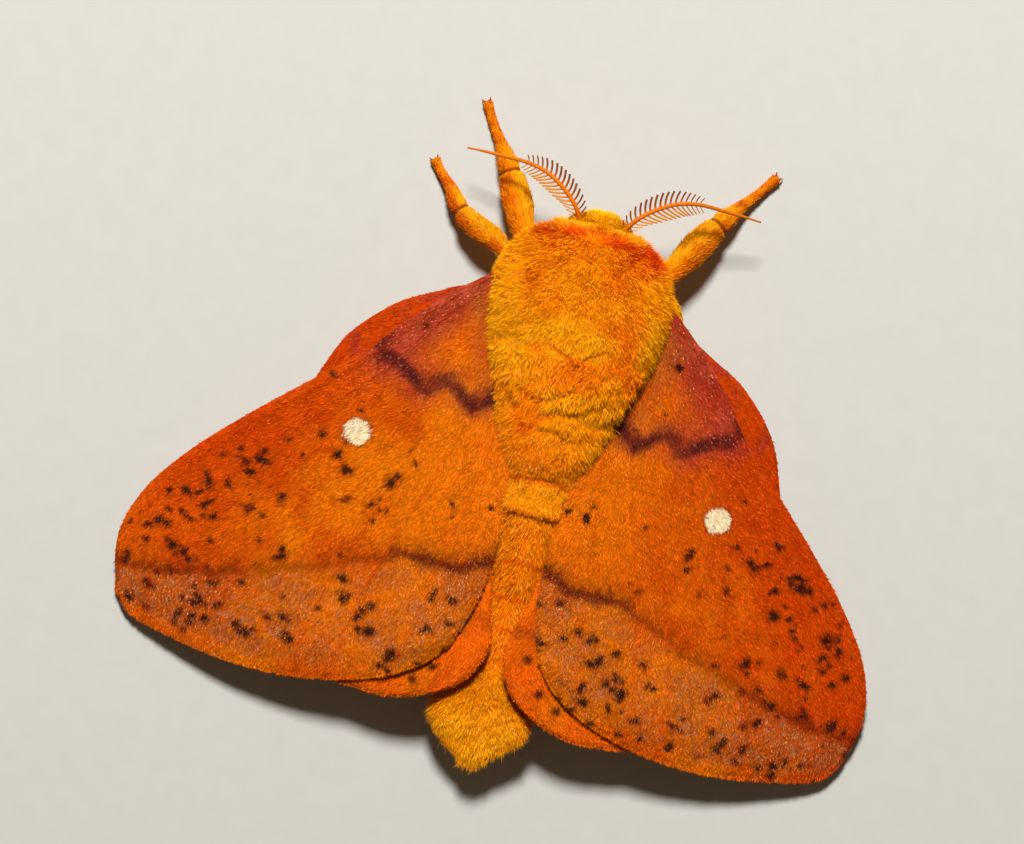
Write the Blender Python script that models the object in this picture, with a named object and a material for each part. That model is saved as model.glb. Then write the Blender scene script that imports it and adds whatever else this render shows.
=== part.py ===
# A spiny oakworm moth (male) at rest, at life size.
# Metres, +Z up. The head points to -Y and the moth's own left is +X. Its feet stand on Z = 0.
# The shapes are worked out in millimetres and scaled to metres at the end.

import math
import random

import bmesh
import bpy
import numpy as np
from mathutils import Matrix, Vector

# Driving dimensions, in millimetres
MM = 0.001
GAP = 0.3
WING_THICKNESS = 0.5
WING_RIM = 0.4
WING_SPACING = WING_THICKNESS + GAP + 0.06
VEIN_HEIGHT = 0.14
VEIN_HALF_WIDTH = 0.16
FOREWING_REACH = 20.05
SEED = 14

# The thorax's pile: flat locks that rise from a core and lie back along the body
PILE = {
    "depth": 0.42,
    "rows": 6,
    "first": -11.1,
    "last": -4.2,
    "spacing": 1.75,
    "length": 2.35,
    "width": 1.6,
    "thickness": 0.5,
    "spread": 0.07,
}
# The tail's fan of hair, whose locks lie back and outwards
FAN = {
    "depth": 0.4,
    "rows": 4,
    "first": 11.9,
    "last": 15.3,
    "spacing": 1.45,
    "length": 1.9,
    "width": 1.25,
    "thickness": 0.5,
    "spread": 0.06,
}
# The side branches of an antenna: count on each side, and where along the shaft they grow
RAMI_COUNT = 7
RAMI_FROM, RAMI_TO = 0.12, 0.56
RAMI_LENGTH = {"front": 0.95, "rear": 1.1}
RAMI_RADIUS = 0.24
RAMI_SWEEP = math.radians(46)
# The middle of the moth's box, which the finished model has over its origin
BOX_MIDDLE_X = 0.41
# The head sits a little to the moth's right of the body's middle
HEAD_X = -0.11

# Lengthwise sections of the body: y, half width, height of the widest level, top, bottom
THORAX_SECTIONS = [
    (-11.95, 1.3, 6.0, 6.7, 5.4),
    (-11.55, 2.5, 5.7, 7.3, 4.5),
    (-10.9, 3.5, 5.2, 7.9, 3.2),
    (-9.9, 4.25, 4.9, 8.4, 2.1),
    (-8.4, 4.7, 4.8, 8.75, 1.5),
    (-6.6, 4.6, 4.8, 8.8, 1.2),
    (-4.6, 4.1, 4.8, 8.4, 1.3),
    (-2.6, 3.25, 4.7, 7.6, 1.8),
]
ABDOMEN_SECTIONS = [
    (-2.3, 3.1, 4.7, 7.45, 1.9),
    (-0.8, 2.7, 4.6, 7.0, 2.0),
    (0.8, 2.1, 4.4, 6.45, 2.1),
    (2.8, 1.85, 4.1, 6.05, 2.1),
    (5.2, 1.7, 3.75, 5.45, 2.0),
    (8.0, 1.5, 3.2, 4.55, 1.8),
    (11.0, 1.3, 2.85, 3.95, 1.7),
]
TUFT_SECTIONS = [
    (11.3, 1.3, 2.8, 3.85, 1.7),
    (12.2, 1.95, 2.75, 3.75, 1.65),
    (13.3, 2.6, 2.75, 3.85, 1.65),
    (14.4, 2.6, 2.7, 3.7, 1.65),
    (15.4, 1.95, 2.65, 3.4, 1.8),
    (16.05, 1.15, 2.6, 3.15, 2.0),
    (16.5, 0.35, 2.55, 2.85, 2.25),
]
HEAD_SECTIONS = [
    (-12.45, 0.5, 4.2, 4.8, 3.7),
    (-12.25, 1.0, 4.25, 5.3, 3.3),
    (-11.7, 1.35, 4.2, 5.7, 2.9),
    (-11.0, 1.5, 4.2, 5.7, 2.8),
    (-10.2, 1.4, 4.3, 5.4, 3.0),
]
SEGMENT_ENDS = [-0.8, 1.3, 3.3, 5.2, 7.0, 8.8, 10.6]
SEGMENT_STEP = 0.14

EYE_RADIUS = 0.66
EYE_CENTRE = (1.12, -11.6, 3.75)

# The left forewing's edges seen from above: x outwards, y towards the tail
FOREWING_EDGES = {
    "root": [(3.4, -9.4), (2.4, -8.6), (1.9, -7.5)],
    "costa": [
        (3.4, -9.4),
        (6.0, -7.3),
        (8.2, -5.0),
        (9.9, -2.95),
        (11.7, -1.3),
        (14.6, 1.4),
        (17.4, 4.3),
        (19.3, 7.0),
        (FOREWING_REACH, 9.6),
        (19.6, 12.3),
    ],
    "outer": [
        (19.6, 12.3),
        (18.7, 13.3),
        (16.9, 13.8),
        (14.0, 14.25),
        (11.3, 14.3),
        (8.6, 13.95),
        (5.8, 13.1),
        (3.7, 11.85),
        (2.5, 10.5),
    ],
    "inner": [(1.9, -7.5), (1.3, -3.0), (1.2, 1.0), (1.35, 5.0), (1.5, 7.2), (1.95, 9.0), (2.5, 10.5)],
}
HINDWING_EDGES = {
    "root": [(3.2, -7.6), (2.4, -6.8), (1.9, -5.6)],
    "costa": [
        (3.2, -7.6),
        (5.4, -7.5),
        (7.2, -6.65),
        (9.0, -5.55),
        (10.9, -3.5),
        (12.0, -1.0),
        (13.0, 2.0),
        (13.4, 5.5),
    ],
    "outer": [(13.4, 5.5), (12.8, 9.0), (10.8, 12.0), (8.3, 13.6), (6.3, 13.95), (4.3, 13.85), (2.5, 13.1)],
    "inner": [(1.9, -5.6), (1.5, -1.0), (1.4, 3.0), (1.2, 6.4), (0.9, 8.0), (0.5, 10.2), (1.3, 12.1), (2.5, 13.1)],
}
# Main veins: place across the wing from 0 at the costa to 1 at the inner edge, and where along it each starts
FOREWING_VEINS = [
    (0.035, 0.0),
    (0.13, 0.0),
    (0.24, 0.45),
    (0.34, 0.48),
    (0.44, 0.5),
    (0.55, 0.45),
    (0.65, 0.0),
    (0.82, 0.0),
]
HINDWING_VEINS = [(0.08, 0.0), (0.25, 0.4), (0.42, 0.45), (0.58, 0.4), (0.74, 0.0), (0.9, 0.0)]

# How each side differs as the resting moth holds it. A wing's pose is its sweep, its size and its shift.
# A leg's pose is its swing about its root, its stretch and its shift. The antenna's is its turn and stretch.
SIDES = {
    "left": {
        "sign": 1,
        "forewing": (0.0, (1.0, 1.0), (0.0, 0.0)),
        "hindwing": (0.0, (1.0, 1.0), (0.0, 0.0)),
        "foreleg": (0.0, 1.0, (0.0, 0.0)),
        "midleg": (0.0, 1.0, (0.0, 0.0)),
        "hindleg": (0.0, 1.0, (0.0, 0.0)),
        "antenna": (0.0, 1.0),
    },
    "right": {
        "sign": -1,
        "forewing": (2.6, (0.97, 0.98), (0.24, -0.14)),
        "hindwing": (1.2, (1.0, 1.0), (0.1, 0.1)),
        "foreleg": (7.0, 1.05, (0.46, 0.12)),
        "midleg": (93.0, 1.0, (0.0, 0.0)),
        "hindleg": (4.0, 1.0, (0.0, 0.0)),
        "antenna": (3.3, 1.045),
    },
}

# Legs as stations of x, y, z and radius for the left side, from the root in the thorax to the foot
LEG_STATIONS = {
    "foreleg": [
        (2.3, -8.8, 3.0, 0.42),
        (3.55, -10.6, 2.35, 0.7),
        (4.1, -11.7, 1.95, 0.84),
        (4.6, -12.7, 1.55, 0.72),
        (5.05, -13.5, 1.15, 0.58),
        (5.6, -14.35, 0.72, 0.42),
        (6.3, -15.4, 0.38, 0.36),
        (6.8, -16.3, 0.3, 0.4),
    ],
    "midleg": [
        (4.0, -9.1, 2.7, 0.42),
        (4.75, -9.7, 2.35, 0.6),
        (5.5, -10.0, 2.05, 0.68),
        (6.4, -10.4, 1.65, 0.6),
        (7.1, -11.0, 1.15, 0.5),
        (7.6, -11.65, 0.75, 0.4),
        (8.3, -12.35, 0.36, 0.36),
        (8.7, -12.85, 0.3, 0.38),
    ],
    "hindleg": [
        (2.0, -4.2, 2.6, 0.55),
        (3.3, -2.4, 2.5, 0.62),
        (4.3, -0.8, 2.1, 0.7),
        (4.8, 1.0, 1.5, 0.62),
        (5.1, 2.7, 0.8, 0.48),
        (5.4, 4.1, 0.42, 0.4),
        (5.6, 5.2, 0.32, 0.36),
        (5.75, 5.9, 0.3, 0.4),
    ],
}

# The left antenna's shaft as x, y, z and radius, from its root on the head
ANTENNA_STATIONS = [
    (0.95, -11.6, 4.6, 0.3),
    (1.46, -12.53, 5.05, 0.29),
    (2.0, -13.1, 5.05, 0.28),
    (2.63, -13.57, 4.95, 0.27),
    (3.32, -13.92, 4.8, 0.26),
    (4.3, -14.12, 4.4, 0.25),
    (5.6, -14.11, 3.85, 0.24),
    (6.5, -14.09, 3.5, 0.18),
    (7.35, -14.04, 3.2, 0.07),
]

COLOURS = {
    "wing": (0.66, 0.13, 0.012),
    "fur": (0.78, 0.26, 0.012),
    "leg": (0.74, 0.2, 0.012),
    "antenna": (0.6, 0.19, 0.02),
    "eye": (0.02, 0.012, 0.01),
}


def clear_scene():
    for obj in list(bpy.data.objects):
        bpy.data.objects.remove(obj)


def make_material(name, colour, roughness):
    material = bpy.data.materials.new(name)
    material.use_nodes = True
    shader = material.node_tree.nodes["Principled BSDF"]
    shader.inputs["Base Color"].default_value = (*colour, 1.0)
    shader.inputs["Roughness"].default_value = roughness
    shader.inputs["Metallic"].default_value = 0.0
    return material


def spline(points, count):
    """Catmull-Rom curve through the points, as an array of count rows spaced evenly in the parameter."""
    p = np.asarray(points, float)
    p = np.vstack([2 * p[0] - p[1], p, 2 * p[-1] - p[-2]])
    spans = len(p) - 3
    t = np.linspace(0, spans, count)
    k = np.minimum(t.astype(int), spans - 1)
    f = (t - k)[:, None]
    a, b, c, d = p[k], p[k + 1], p[k + 2], p[k + 3]
    return 0.5 * (2 * b + (c - a) * f + (2 * a - 5 * b + 4 * c - d) * f**2 + (3 * b - 3 * c + d - a) * f**3)


def edge_at(points, fractions):
    """Points at these shares of the curve's length."""
    curve = spline(points, 40 * len(points))
    steps = np.r_[0, np.cumsum(np.linalg.norm(np.diff(curve, axis=0), axis=1))]
    wanted = np.asarray(fractions) * steps[-1]
    return np.stack([np.interp(wanted, steps, curve[:, k]) for k in range(curve.shape[1])], axis=1)


def mesh_object(name, points, faces):
    mesh = bpy.data.meshes.new(name)
    mesh.from_pydata([tuple(float(c) for c in p) for p in points], [], faces)
    mesh.update()
    obj = bpy.data.objects.new(name, mesh)
    bpy.context.scene.collection.objects.link(obj)
    return obj


def loft(name, rings):
    """Closed solid through rings of equal size, each end closed by a fan to its middle."""
    size = len(rings[0])
    points = [p for ring in rings for p in ring]
    faces = []
    for r in range(len(rings) - 1):
        for k in range(size):
            a, b = r * size + k, r * size + (k + 1) % size
            faces.append((a, b, b + size, a + size))
    for ring, base, turned in ((rings[0], 0, True), (rings[-1], (len(rings) - 1) * size, False)):
        points.append(np.mean(np.asarray(ring, float), axis=0))
        middle = len(points) - 1
        for k in range(size):
            a, b = base + k, base + (k + 1) % size
            faces.append((b, a, middle) if turned else (a, b, middle))
    obj = mesh_object(name, points, faces)
    face_outwards(obj)
    return obj


def face_outwards(obj):
    bm = bmesh.new()
    bm.from_mesh(obj.data)
    bmesh.ops.recalc_face_normals(bm, faces=bm.faces[:])
    bm.to_mesh(obj.data)
    bm.free()


def tube(name, stations, sides, count):
    """Round tube through stations of x, y, z and radius."""
    path = spline(stations, count)
    rings = []
    side = Vector((0, 0, 1))
    for k, (x, y, z, radius) in enumerate(path):
        ahead = Vector(path[min(k + 1, count - 1)][:3]) - Vector(path[max(k - 1, 0)][:3])
        ahead.normalize()
        side = (side - ahead * side.dot(ahead)).normalized()
        other = ahead.cross(side)
        middle = Vector((x, y, z))
        rings.append(
            [
                middle + (side * math.cos(a) + other * math.sin(a)) * max(radius, 0.03)
                for a in (2 * math.pi * s / sides for s in range(sides))
            ]
        )
    return loft(name, rings)


def body_section(sections, y):
    """Half width, widest level, top and bottom at y."""
    table = spline(sections, 30 * len(sections))
    order = np.argsort(table[:, 0])
    return [float(np.interp(y, table[order, 0], table[order, k])) for k in range(1, 5)]


def body_point(sections, y, angle, grow, centre):
    """Point on the body's skin: angle 0 is the moth's left and a quarter turn is its back."""
    half, middle, top, bottom = body_section(sections, y)
    reach = (top - middle if math.sin(angle) > 0 else middle - bottom) + grow
    return Vector((centre + (half + grow) * math.cos(angle), y, middle + reach * math.sin(angle)))


def body_solid(name, sections, grow=0.0, sides=24, rings=14, centre=0.0, step_at=()):
    """The body's skin between the first and last section, moved out by grow."""
    ends = sections[0][0], sections[-1][0]
    levels = np.linspace(*ends, rings)
    if step_at:
        levels = sorted([*ends, *step_at, *(y + 0.25 for y in step_at), *(y - 0.8 for y in step_at[1:])])
    skin = []
    for y in levels:
        swell = grow + segment_swell(y) if step_at else grow
        skin.append([body_point(sections, y, 2 * math.pi * s / sides, swell, centre) for s in range(sides)])
    if grow > 0:
        for ring, shift in ((skin[0], -grow), (skin[-1], grow)):
            for p in ring:
                p.y += shift
    return loft(name, skin)


def make_coat(name, sections, coat, centre=0.0, sides=18):
    """A body piece whose hair is built as overlapping locks over a core, all inside the piece's skin."""
    core = body_solid(name, sections, -coat["depth"], sides=sides, rings=10, centre=centre)
    locks = []
    end = sections[-1][0] - 0.03
    for row in range(coat["rows"]):
        y = coat["first"] + (coat["last"] - coat["first"]) * row / (coat["rows"] - 1)
        half, _, top, bottom = body_section(sections, y)
        around = math.pi * (half + (top - bottom) / 2)
        count = max(int(around / coat["spacing"]), 5)
        for k in range(count):
            angle = 2 * math.pi * (k + 0.5 * (row % 2) + random.uniform(-0.12, 0.12)) / count
            length = coat["length"] * random.uniform(0.85, 1.1)
            drift = random.uniform(-1, 1) * coat["spread"]
            locks.append(make_lock(f"{name}_lock", sections, coat, centre, (y, angle, length, drift, end)))
    combine(core, locks, "UNION", "MANIFOLD")
    return core


def make_lock(name, sections, coat, centre, pose):
    """Flat tapered lock: its root is sunk in the core, and it bends over to lie along the skin."""
    y, angle, length, drift, end = pose
    lift = coat["thickness"] / 2 + 0.02
    shape = ((-0.1, 0.85, -coat["depth"] - 0.3), (0.5, 1.0, -lift), (1.0, 0.16, -0.1))
    rings = []
    for along, wide, sunk in shape:
        here = min(y + along * length, end)
        half, _, top, bottom = body_section(sections, here)
        turn = 0.5 * wide * coat["width"] / (half + top - bottom) * 2
        thick = coat["thickness"] * (0.3 if along == 1.0 else 1.0)
        spin = angle + drift * along
        rings.append(
            [
                body_point(sections, here, spin - turn, sunk - thick / 2, centre),
                body_point(sections, here, spin, sunk + thick / 2, centre),
                body_point(sections, here, spin + turn, sunk - thick / 2, centre),
            ]
        )
    return loft(name, rings)


def segment_swell(y):
    """Each ring of the abdomen swells to its hind edge, which overlaps the next ring."""
    before = [end for end in SEGMENT_ENDS if end < y - 0.01]
    after = [end for end in SEGMENT_ENDS if end >= y - 0.01]
    if not after or not before:
        return 0.0
    share = (y - before[-1]) / (after[0] - before[-1])
    return SEGMENT_STEP * share**2


def evaluated_mesh(obj):
    graph = bpy.context.evaluated_depsgraph_get()
    return bpy.data.meshes.new_from_object(obj.evaluated_get(graph))


def combine(obj, others, operation, solver="EXACT"):
    """Joins the other objects to obj, or cuts them from it, in one Boolean, and removes them."""
    tools = bpy.data.collections.new(obj.name + "_tools")
    bpy.context.scene.collection.children.link(tools)
    for other in others:
        bpy.context.scene.collection.objects.unlink(other)
        tools.objects.link(other)
    modifier = obj.modifiers.new("Boolean", "BOOLEAN")
    modifier.operation = operation
    modifier.operand_type = "COLLECTION"
    modifier.collection = tools
    modifier.solver = solver
    made = evaluated_mesh(obj)
    obj.modifiers.clear()
    obj.data = made
    for other in others:
        bpy.data.objects.remove(other)
    bpy.data.collections.remove(tools)
    keep_largest(obj)


def keep_largest(obj):
    """Drops every closed surface of the mesh but the largest, counting faces that share an edge as one surface."""
    bm = bmesh.new()
    bm.from_mesh(obj.data)
    groups = []
    seen = set()
    for start in bm.faces:
        if start in seen:
            continue
        group, waiting = [], [start]
        seen.add(start)
        while waiting:
            face = waiting.pop()
            group.append(face)
            for other in (f for edge in face.edges for f in edge.link_faces):
                if other not in seen:
                    seen.add(other)
                    waiting.append(other)
        groups.append(group)
    groups.sort(key=lambda group: -box_size([v for face in group for v in face.verts]))
    loose = [face for group in groups[1:] for face in group]
    bmesh.ops.delete(bm, geom=loose, context="FACES")
    bmesh.ops.triangulate(bm, faces=bm.faces[:])
    bm.to_mesh(obj.data)
    bm.free()


def box_size(verts):
    low = [min(v.co[k] for v in verts) for k in range(3)]
    high = [max(v.co[k] for v in verts) for k in range(3)]
    return sum((h - l) ** 2 for h, l in zip(high, low))


def wing_height(x, y):
    """Height of a forewing's upper face: highest along the body, falling to the wing tip and a little to the rear."""
    out = abs(x)
    rear = 0.5 * (y + math.sqrt(y * y + 4))
    return 6.45 - 0.235 * out - 0.002 * out * out - 0.06 * rear * (1 - out / 22)


def wing_grid(edges, along, across):
    """Points of a four-sided patch between the wing's edges, one row for each place along it."""
    costa, inner = edge_at(edges["costa"], along), edge_at(edges["inner"], along)
    root, outer = edge_at(edges["root"], across), edge_at(edges["outer"], across)
    u, v = np.asarray(along)[:, None, None], np.asarray(across)[None, :, None]
    corners = (
        (1 - u) * (1 - v) * costa[0] + u * (1 - v) * costa[-1] + (1 - u) * v * inner[0] + u * v * inner[-1]
    )
    return (1 - v) * costa[:, None] + v * inner[:, None] + (1 - u) * root[None] + u * outer[None] - corners


def vein_ridge(veins, u, v):
    """Height of the vein ridges at a place on the wing."""
    height = 0.0
    for place, start in veins:
        grown = min(max((u - start + 0.04) / 0.08, 0.0), 1.0)
        if abs(v - place) < 0.001:
            height = VEIN_HEIGHT * grown * (1 - 0.35 * u)
    return height


def vein_columns(veins, chord):
    """Places across the wing: each vein's crest and feet, with plain columns between wide gaps."""
    half = VEIN_HALF_WIDTH / chord
    places = {0.0, 1.0}
    for place, _ in veins:
        places |= {max(place - half, 0.004), place, place + half}
    ordered = sorted(places)
    filled = []
    for low, high in zip(ordered, ordered[1:]):
        filled.append(low)
        if high - low > 0.07:
            filled.append((low + high) / 2)
    return [*filled, 1.0]


def place_wing(x, y, side, wing):
    """The side's own sweep, size and shift applied to a point of the left wing, still unmirrored."""
    sweep, reach, shift = SIDES[side][wing]
    turn = math.radians(sweep)
    x, y = x * reach[0], y * reach[1]
    x, y = x * math.cos(turn) - y * math.sin(turn), x * math.sin(turn) + y * math.cos(turn)
    return x + shift[0], y + shift[1]


def make_wing(wing, side, edges, veins, chord, rows, drop):
    """Closed wing of even thickness, thinner at its rim, with the veins raised in its upper face."""
    along = [1 - (1 - k / (rows - 1)) ** 1.15 for k in range(rows)]
    across = vein_columns(veins, chord)
    grid = wing_grid(edges, along, across)
    columns = len(across)
    upper, lower = [], []
    for r, u in enumerate(along):
        for c, v in enumerate(across):
            x, y = place_wing(*grid[r, c], side, wing)
            rim = r == rows - 1 or c in (0, columns - 1)
            z = wing_height(x, y) - drop(u, v)
            thickness = WING_RIM if rim else WING_THICKNESS
            crest = 0.0 if rim else vein_ridge(veins, u, v)
            x *= SIDES[side]["sign"]
            sunk = (WING_THICKNESS - thickness) / 2
            upper.append((x, y, z - sunk + crest))
            lower.append((x, y, z - sunk - thickness))
    count = len(upper)
    faces = []
    for r in range(rows - 1):
        for c in range(columns - 1):
            a, b, d, e = r * columns + c, r * columns + c + 1, (r + 1) * columns + c + 1, (r + 1) * columns + c
            faces += [(a, b, d), (a, d, e)]
            faces += [(a + count, d + count, b + count), (a + count, e + count, d + count)]
    border = [c for c in range(columns)]
    border += [r * columns + columns - 1 for r in range(1, rows)]
    border += [(rows - 1) * columns + c for c in range(columns - 2, -1, -1)]
    border += [r * columns for r in range(rows - 2, 0, -1)]
    for a, b in zip(border, border[1:] + border[:1]):
        faces += [(a, a + count, b + count), (a, b + count, b)]
    obj = mesh_object(f"{wing}_{side}", upper + lower, faces)
    face_outwards(obj)
    cutters = [
        body_solid("cut_thorax", THORAX_SECTIONS, GAP),
        body_solid("cut_abdomen", ABDOMEN_SECTIONS, GAP),
    ]
    combine(obj, cutters, "DIFFERENCE")
    return obj


def forewing_drop(u, v):
    return 0.0


def hindwing_drop(u, v):
    """The hindwing lies under the forewing, and its front edge a little deeper."""
    return WING_SPACING + 0.25 * max(0.0, 1 - v / 0.2)


def make_leg(kind, side):
    swing, stretch, shift = SIDES[side][kind]
    turn = Matrix.Rotation(math.radians(swing), 3, "Z") * stretch
    root = Vector((*LEG_STATIONS[kind][0][:2], 0))
    stations = []
    for x, y, z, radius in LEG_STATIONS[kind]:
        flat = root + turn @ (Vector((x, y, 0)) - root)
        stations.append(((flat.x + shift[0]) * SIDES[side]["sign"], flat.y + shift[1], z, radius))
    leg = tube(f"{kind}_{side}", stations, 8, 15)
    floor = box_object("floor_cut", (0, 0, -2), (60, 60, 4))
    combine(leg, [floor, body_solid("cut_thorax", THORAX_SECTIONS, GAP)], "DIFFERENCE")
    return leg


def box_object(name, middle, size):
    obj = mesh_object(name, [], [])
    bm = bmesh.new()
    bmesh.ops.create_cube(bm, size=1.0, matrix=Matrix.Translation(middle) @ Matrix.Diagonal((*size, 1.0)))
    bm.to_mesh(obj.data)
    bm.free()
    return obj


def ball_object(name, middle, radius):
    obj = mesh_object(name, [], [])
    bm = bmesh.new()
    bmesh.ops.create_icosphere(bm, subdivisions=3, radius=radius, matrix=Matrix.Translation(middle))
    bm.to_mesh(obj.data)
    bm.free()
    return obj


def head_cutters():
    """The head and the thorax grown by the gap, to cut what grows from the head."""
    return [
        body_solid("cut_head", HEAD_SECTIONS, GAP, centre=HEAD_X),
        body_solid("cut_thorax", THORAX_SECTIONS, GAP),
    ]


def make_eye(side):
    x, y, z = EYE_CENTRE
    eye = ball_object(f"eye_{side}", (HEAD_X + x * SIDES[side]["sign"], y, z), EYE_RADIUS)
    combine(eye, head_cutters(), "DIFFERENCE")
    return eye


def make_antenna(side):
    turn, stretch = SIDES[side]["antenna"]
    matrix = Matrix.Rotation(math.radians(turn), 3, "Z") * stretch
    root = Vector(ANTENNA_STATIONS[0][:3])
    stations = []
    for x, y, z, radius in ANTENNA_STATIONS:
        p = matrix @ Vector((x - root.x, y - root.y, 0)) + root
        stations.append((HEAD_X + p.x * SIDES[side]["sign"], p.y, z, radius))
    shaft = tube(f"antenna_{side}", stations, 6, 16)
    combine(shaft, make_rami(side, stations), "UNION", "MANIFOLD")
    combine(shaft, head_cutters(), "DIFFERENCE")
    return shaft


def make_rami(side, stations):
    """Tapered branches in two rows, swept towards the tip, with their roots inside the shaft."""
    path = spline(stations, 200)
    rami = []
    for k in range(RAMI_COUNT):
        share = RAMI_FROM + (RAMI_TO - RAMI_FROM) * k / (RAMI_COUNT - 1)
        at = int(share * 199)
        root = Vector(path[at][:3])
        ahead = (Vector(path[at + 3][:3]) - Vector(path[at - 3][:3])).normalized()
        sideways = ahead.cross(Vector((0, 0, 1))).normalized()
        shape = 0.72 + 0.28 * math.sin(math.pi * (k + 1.2) / (RAMI_COUNT + 1))
        for row in (-1, 1):
            reach = RAMI_LENGTH["front" if row == SIDES[side]["sign"] else "rear"] * shape
            curve = []
            for step, radius in ((0.0, 0.9), (0.3, 1.0), (0.65, 0.75), (1.0, 0.35)):
                turn = RAMI_SWEEP * (0.75 + 0.35 * step)
                way = sideways * (row * math.cos(turn)) + ahead * math.sin(turn)
                point = root + way * (reach * step) - Vector((0, 0, 0.35 * step * step))
                curve.append((*point, RAMI_RADIUS * radius))
            rami.append(tube(f"ramus_{side}_{k}_{row}", curve, 4, 4))
    return rami


def make_head():
    head = body_solid("head", HEAD_SECTIONS, sides=20, rings=9, centre=HEAD_X)
    combine(head, [body_solid("cut_thorax", THORAX_SECTIONS, GAP)], "DIFFERENCE")
    return head


def finish(obj, material):
    """Gives a node its material, shades it and brings it to metres under the shared parent."""
    obj.data.materials.clear()
    obj.data.materials.append(material)
    obj.data.transform(Matrix.Scale(MM, 4) @ Matrix.Translation((-BOX_MIDDLE_X, 0, 0)))
    obj.data.shade_smooth()
    obj.data.set_sharp_from_angle(angle=math.radians(50))
    obj.parent = bpy.data.objects["moth"]


def main():
    clear_scene()
    random.seed(SEED)
    moth = bpy.data.objects.new("moth", None)
    bpy.context.scene.collection.objects.link(moth)
    wing = make_material("wing_scales", COLOURS["wing"], 0.7)
    fur = make_material("body_fur", COLOURS["fur"], 0.85)
    leg = make_material("leg_fur", COLOURS["leg"], 0.8)
    horn = make_material("antenna_horn", COLOURS["antenna"], 0.6)
    eye = make_material("eye_facets", COLOURS["eye"], 0.15)
    finish(make_coat("thorax", THORAX_SECTIONS, PILE), fur)
    finish(body_solid("abdomen", ABDOMEN_SECTIONS, step_at=SEGMENT_ENDS), fur)
    finish(make_coat("tail_tuft", TUFT_SECTIONS, FAN, sides=14), fur)
    finish(make_head(), fur)
    for side in SIDES:
        finish(make_wing("forewing", side, FOREWING_EDGES, FOREWING_VEINS, 14.0, 15, forewing_drop), wing)
        finish(make_wing("hindwing", side, HINDWING_EDGES, HINDWING_VEINS, 12.0, 12, hindwing_drop), wing)
        finish(make_eye(side), eye)
        finish(make_antenna(side), horn)
        for kind in LEG_STATIONS:
            finish(make_leg(kind, side), leg)


main()
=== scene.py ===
import math

import bmesh
import bpy
import numpy as np
from mathutils import Matrix, Vector


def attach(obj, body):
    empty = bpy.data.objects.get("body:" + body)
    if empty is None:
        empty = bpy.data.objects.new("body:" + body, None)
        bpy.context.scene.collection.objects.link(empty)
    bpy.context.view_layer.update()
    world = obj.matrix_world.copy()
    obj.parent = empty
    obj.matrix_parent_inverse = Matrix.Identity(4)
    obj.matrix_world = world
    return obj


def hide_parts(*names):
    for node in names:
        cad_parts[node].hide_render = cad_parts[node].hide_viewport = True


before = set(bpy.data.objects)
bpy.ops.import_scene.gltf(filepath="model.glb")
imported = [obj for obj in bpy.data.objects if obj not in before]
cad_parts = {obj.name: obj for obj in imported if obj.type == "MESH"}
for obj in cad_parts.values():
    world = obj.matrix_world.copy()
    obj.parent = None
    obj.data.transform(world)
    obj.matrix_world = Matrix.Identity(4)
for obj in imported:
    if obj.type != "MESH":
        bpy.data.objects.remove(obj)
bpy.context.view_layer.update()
print("frame loaded")

# Everything below is worked out in millimetres on the moth's own body line,
# which lies this far to the right of the middle of its box.
mm = 0.001
boxMiddleX = 0.41
fullTurn = 2 * math.pi

trunkSections = {  # y, half width, widest level, top, bottom
    "thorax": [
        (-11.95, 1.3, 6.0, 6.7, 5.4), (-11.55, 2.5, 5.7, 7.3, 4.5),
        (-10.9, 3.5, 5.2, 7.9, 3.2), (-9.9, 4.25, 4.9, 8.4, 2.1),
        (-8.4, 4.7, 4.8, 8.75, 1.5), (-6.6, 4.6, 4.8, 8.8, 1.2),
        (-4.6, 4.1, 4.8, 8.4, 1.3), (-2.6, 3.25, 4.7, 7.6, 1.8),
    ],
    "abdomen": [
        (-2.3, 3.1, 4.7, 7.45, 1.9), (-0.8, 2.7, 4.6, 7.0, 2.0),
        (0.8, 2.1, 4.4, 6.45, 2.1), (2.8, 1.85, 4.1, 6.05, 2.1),
        (5.2, 1.7, 3.75, 5.45, 2.0), (8.0, 1.5, 3.2, 4.55, 1.8),
        (11.0, 1.3, 2.85, 3.95, 1.7),
    ],
    "tail": [
        (11.3, 1.3, 2.8, 3.85, 1.7), (12.2, 1.95, 2.75, 3.75, 1.65),
        (13.3, 2.6, 2.75, 3.85, 1.65), (14.4, 2.6, 2.7, 3.7, 1.65),
        (15.4, 1.95, 2.65, 3.4, 1.8), (16.05, 1.15, 2.6, 3.15, 2.0),
        (16.5, 0.35, 2.55, 2.85, 2.25),
    ],
    "head": [
        (-12.45, 0.5, 4.2, 4.8, 3.7), (-12.25, 1.0, 4.25, 5.3, 3.3),
        (-11.7, 1.35, 4.2, 5.7, 2.9), (-11.0, 1.5, 4.2, 5.7, 2.8),
        (-10.2, 1.4, 4.3, 5.4, 3.0),
    ],
}
headX = -0.11

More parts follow.
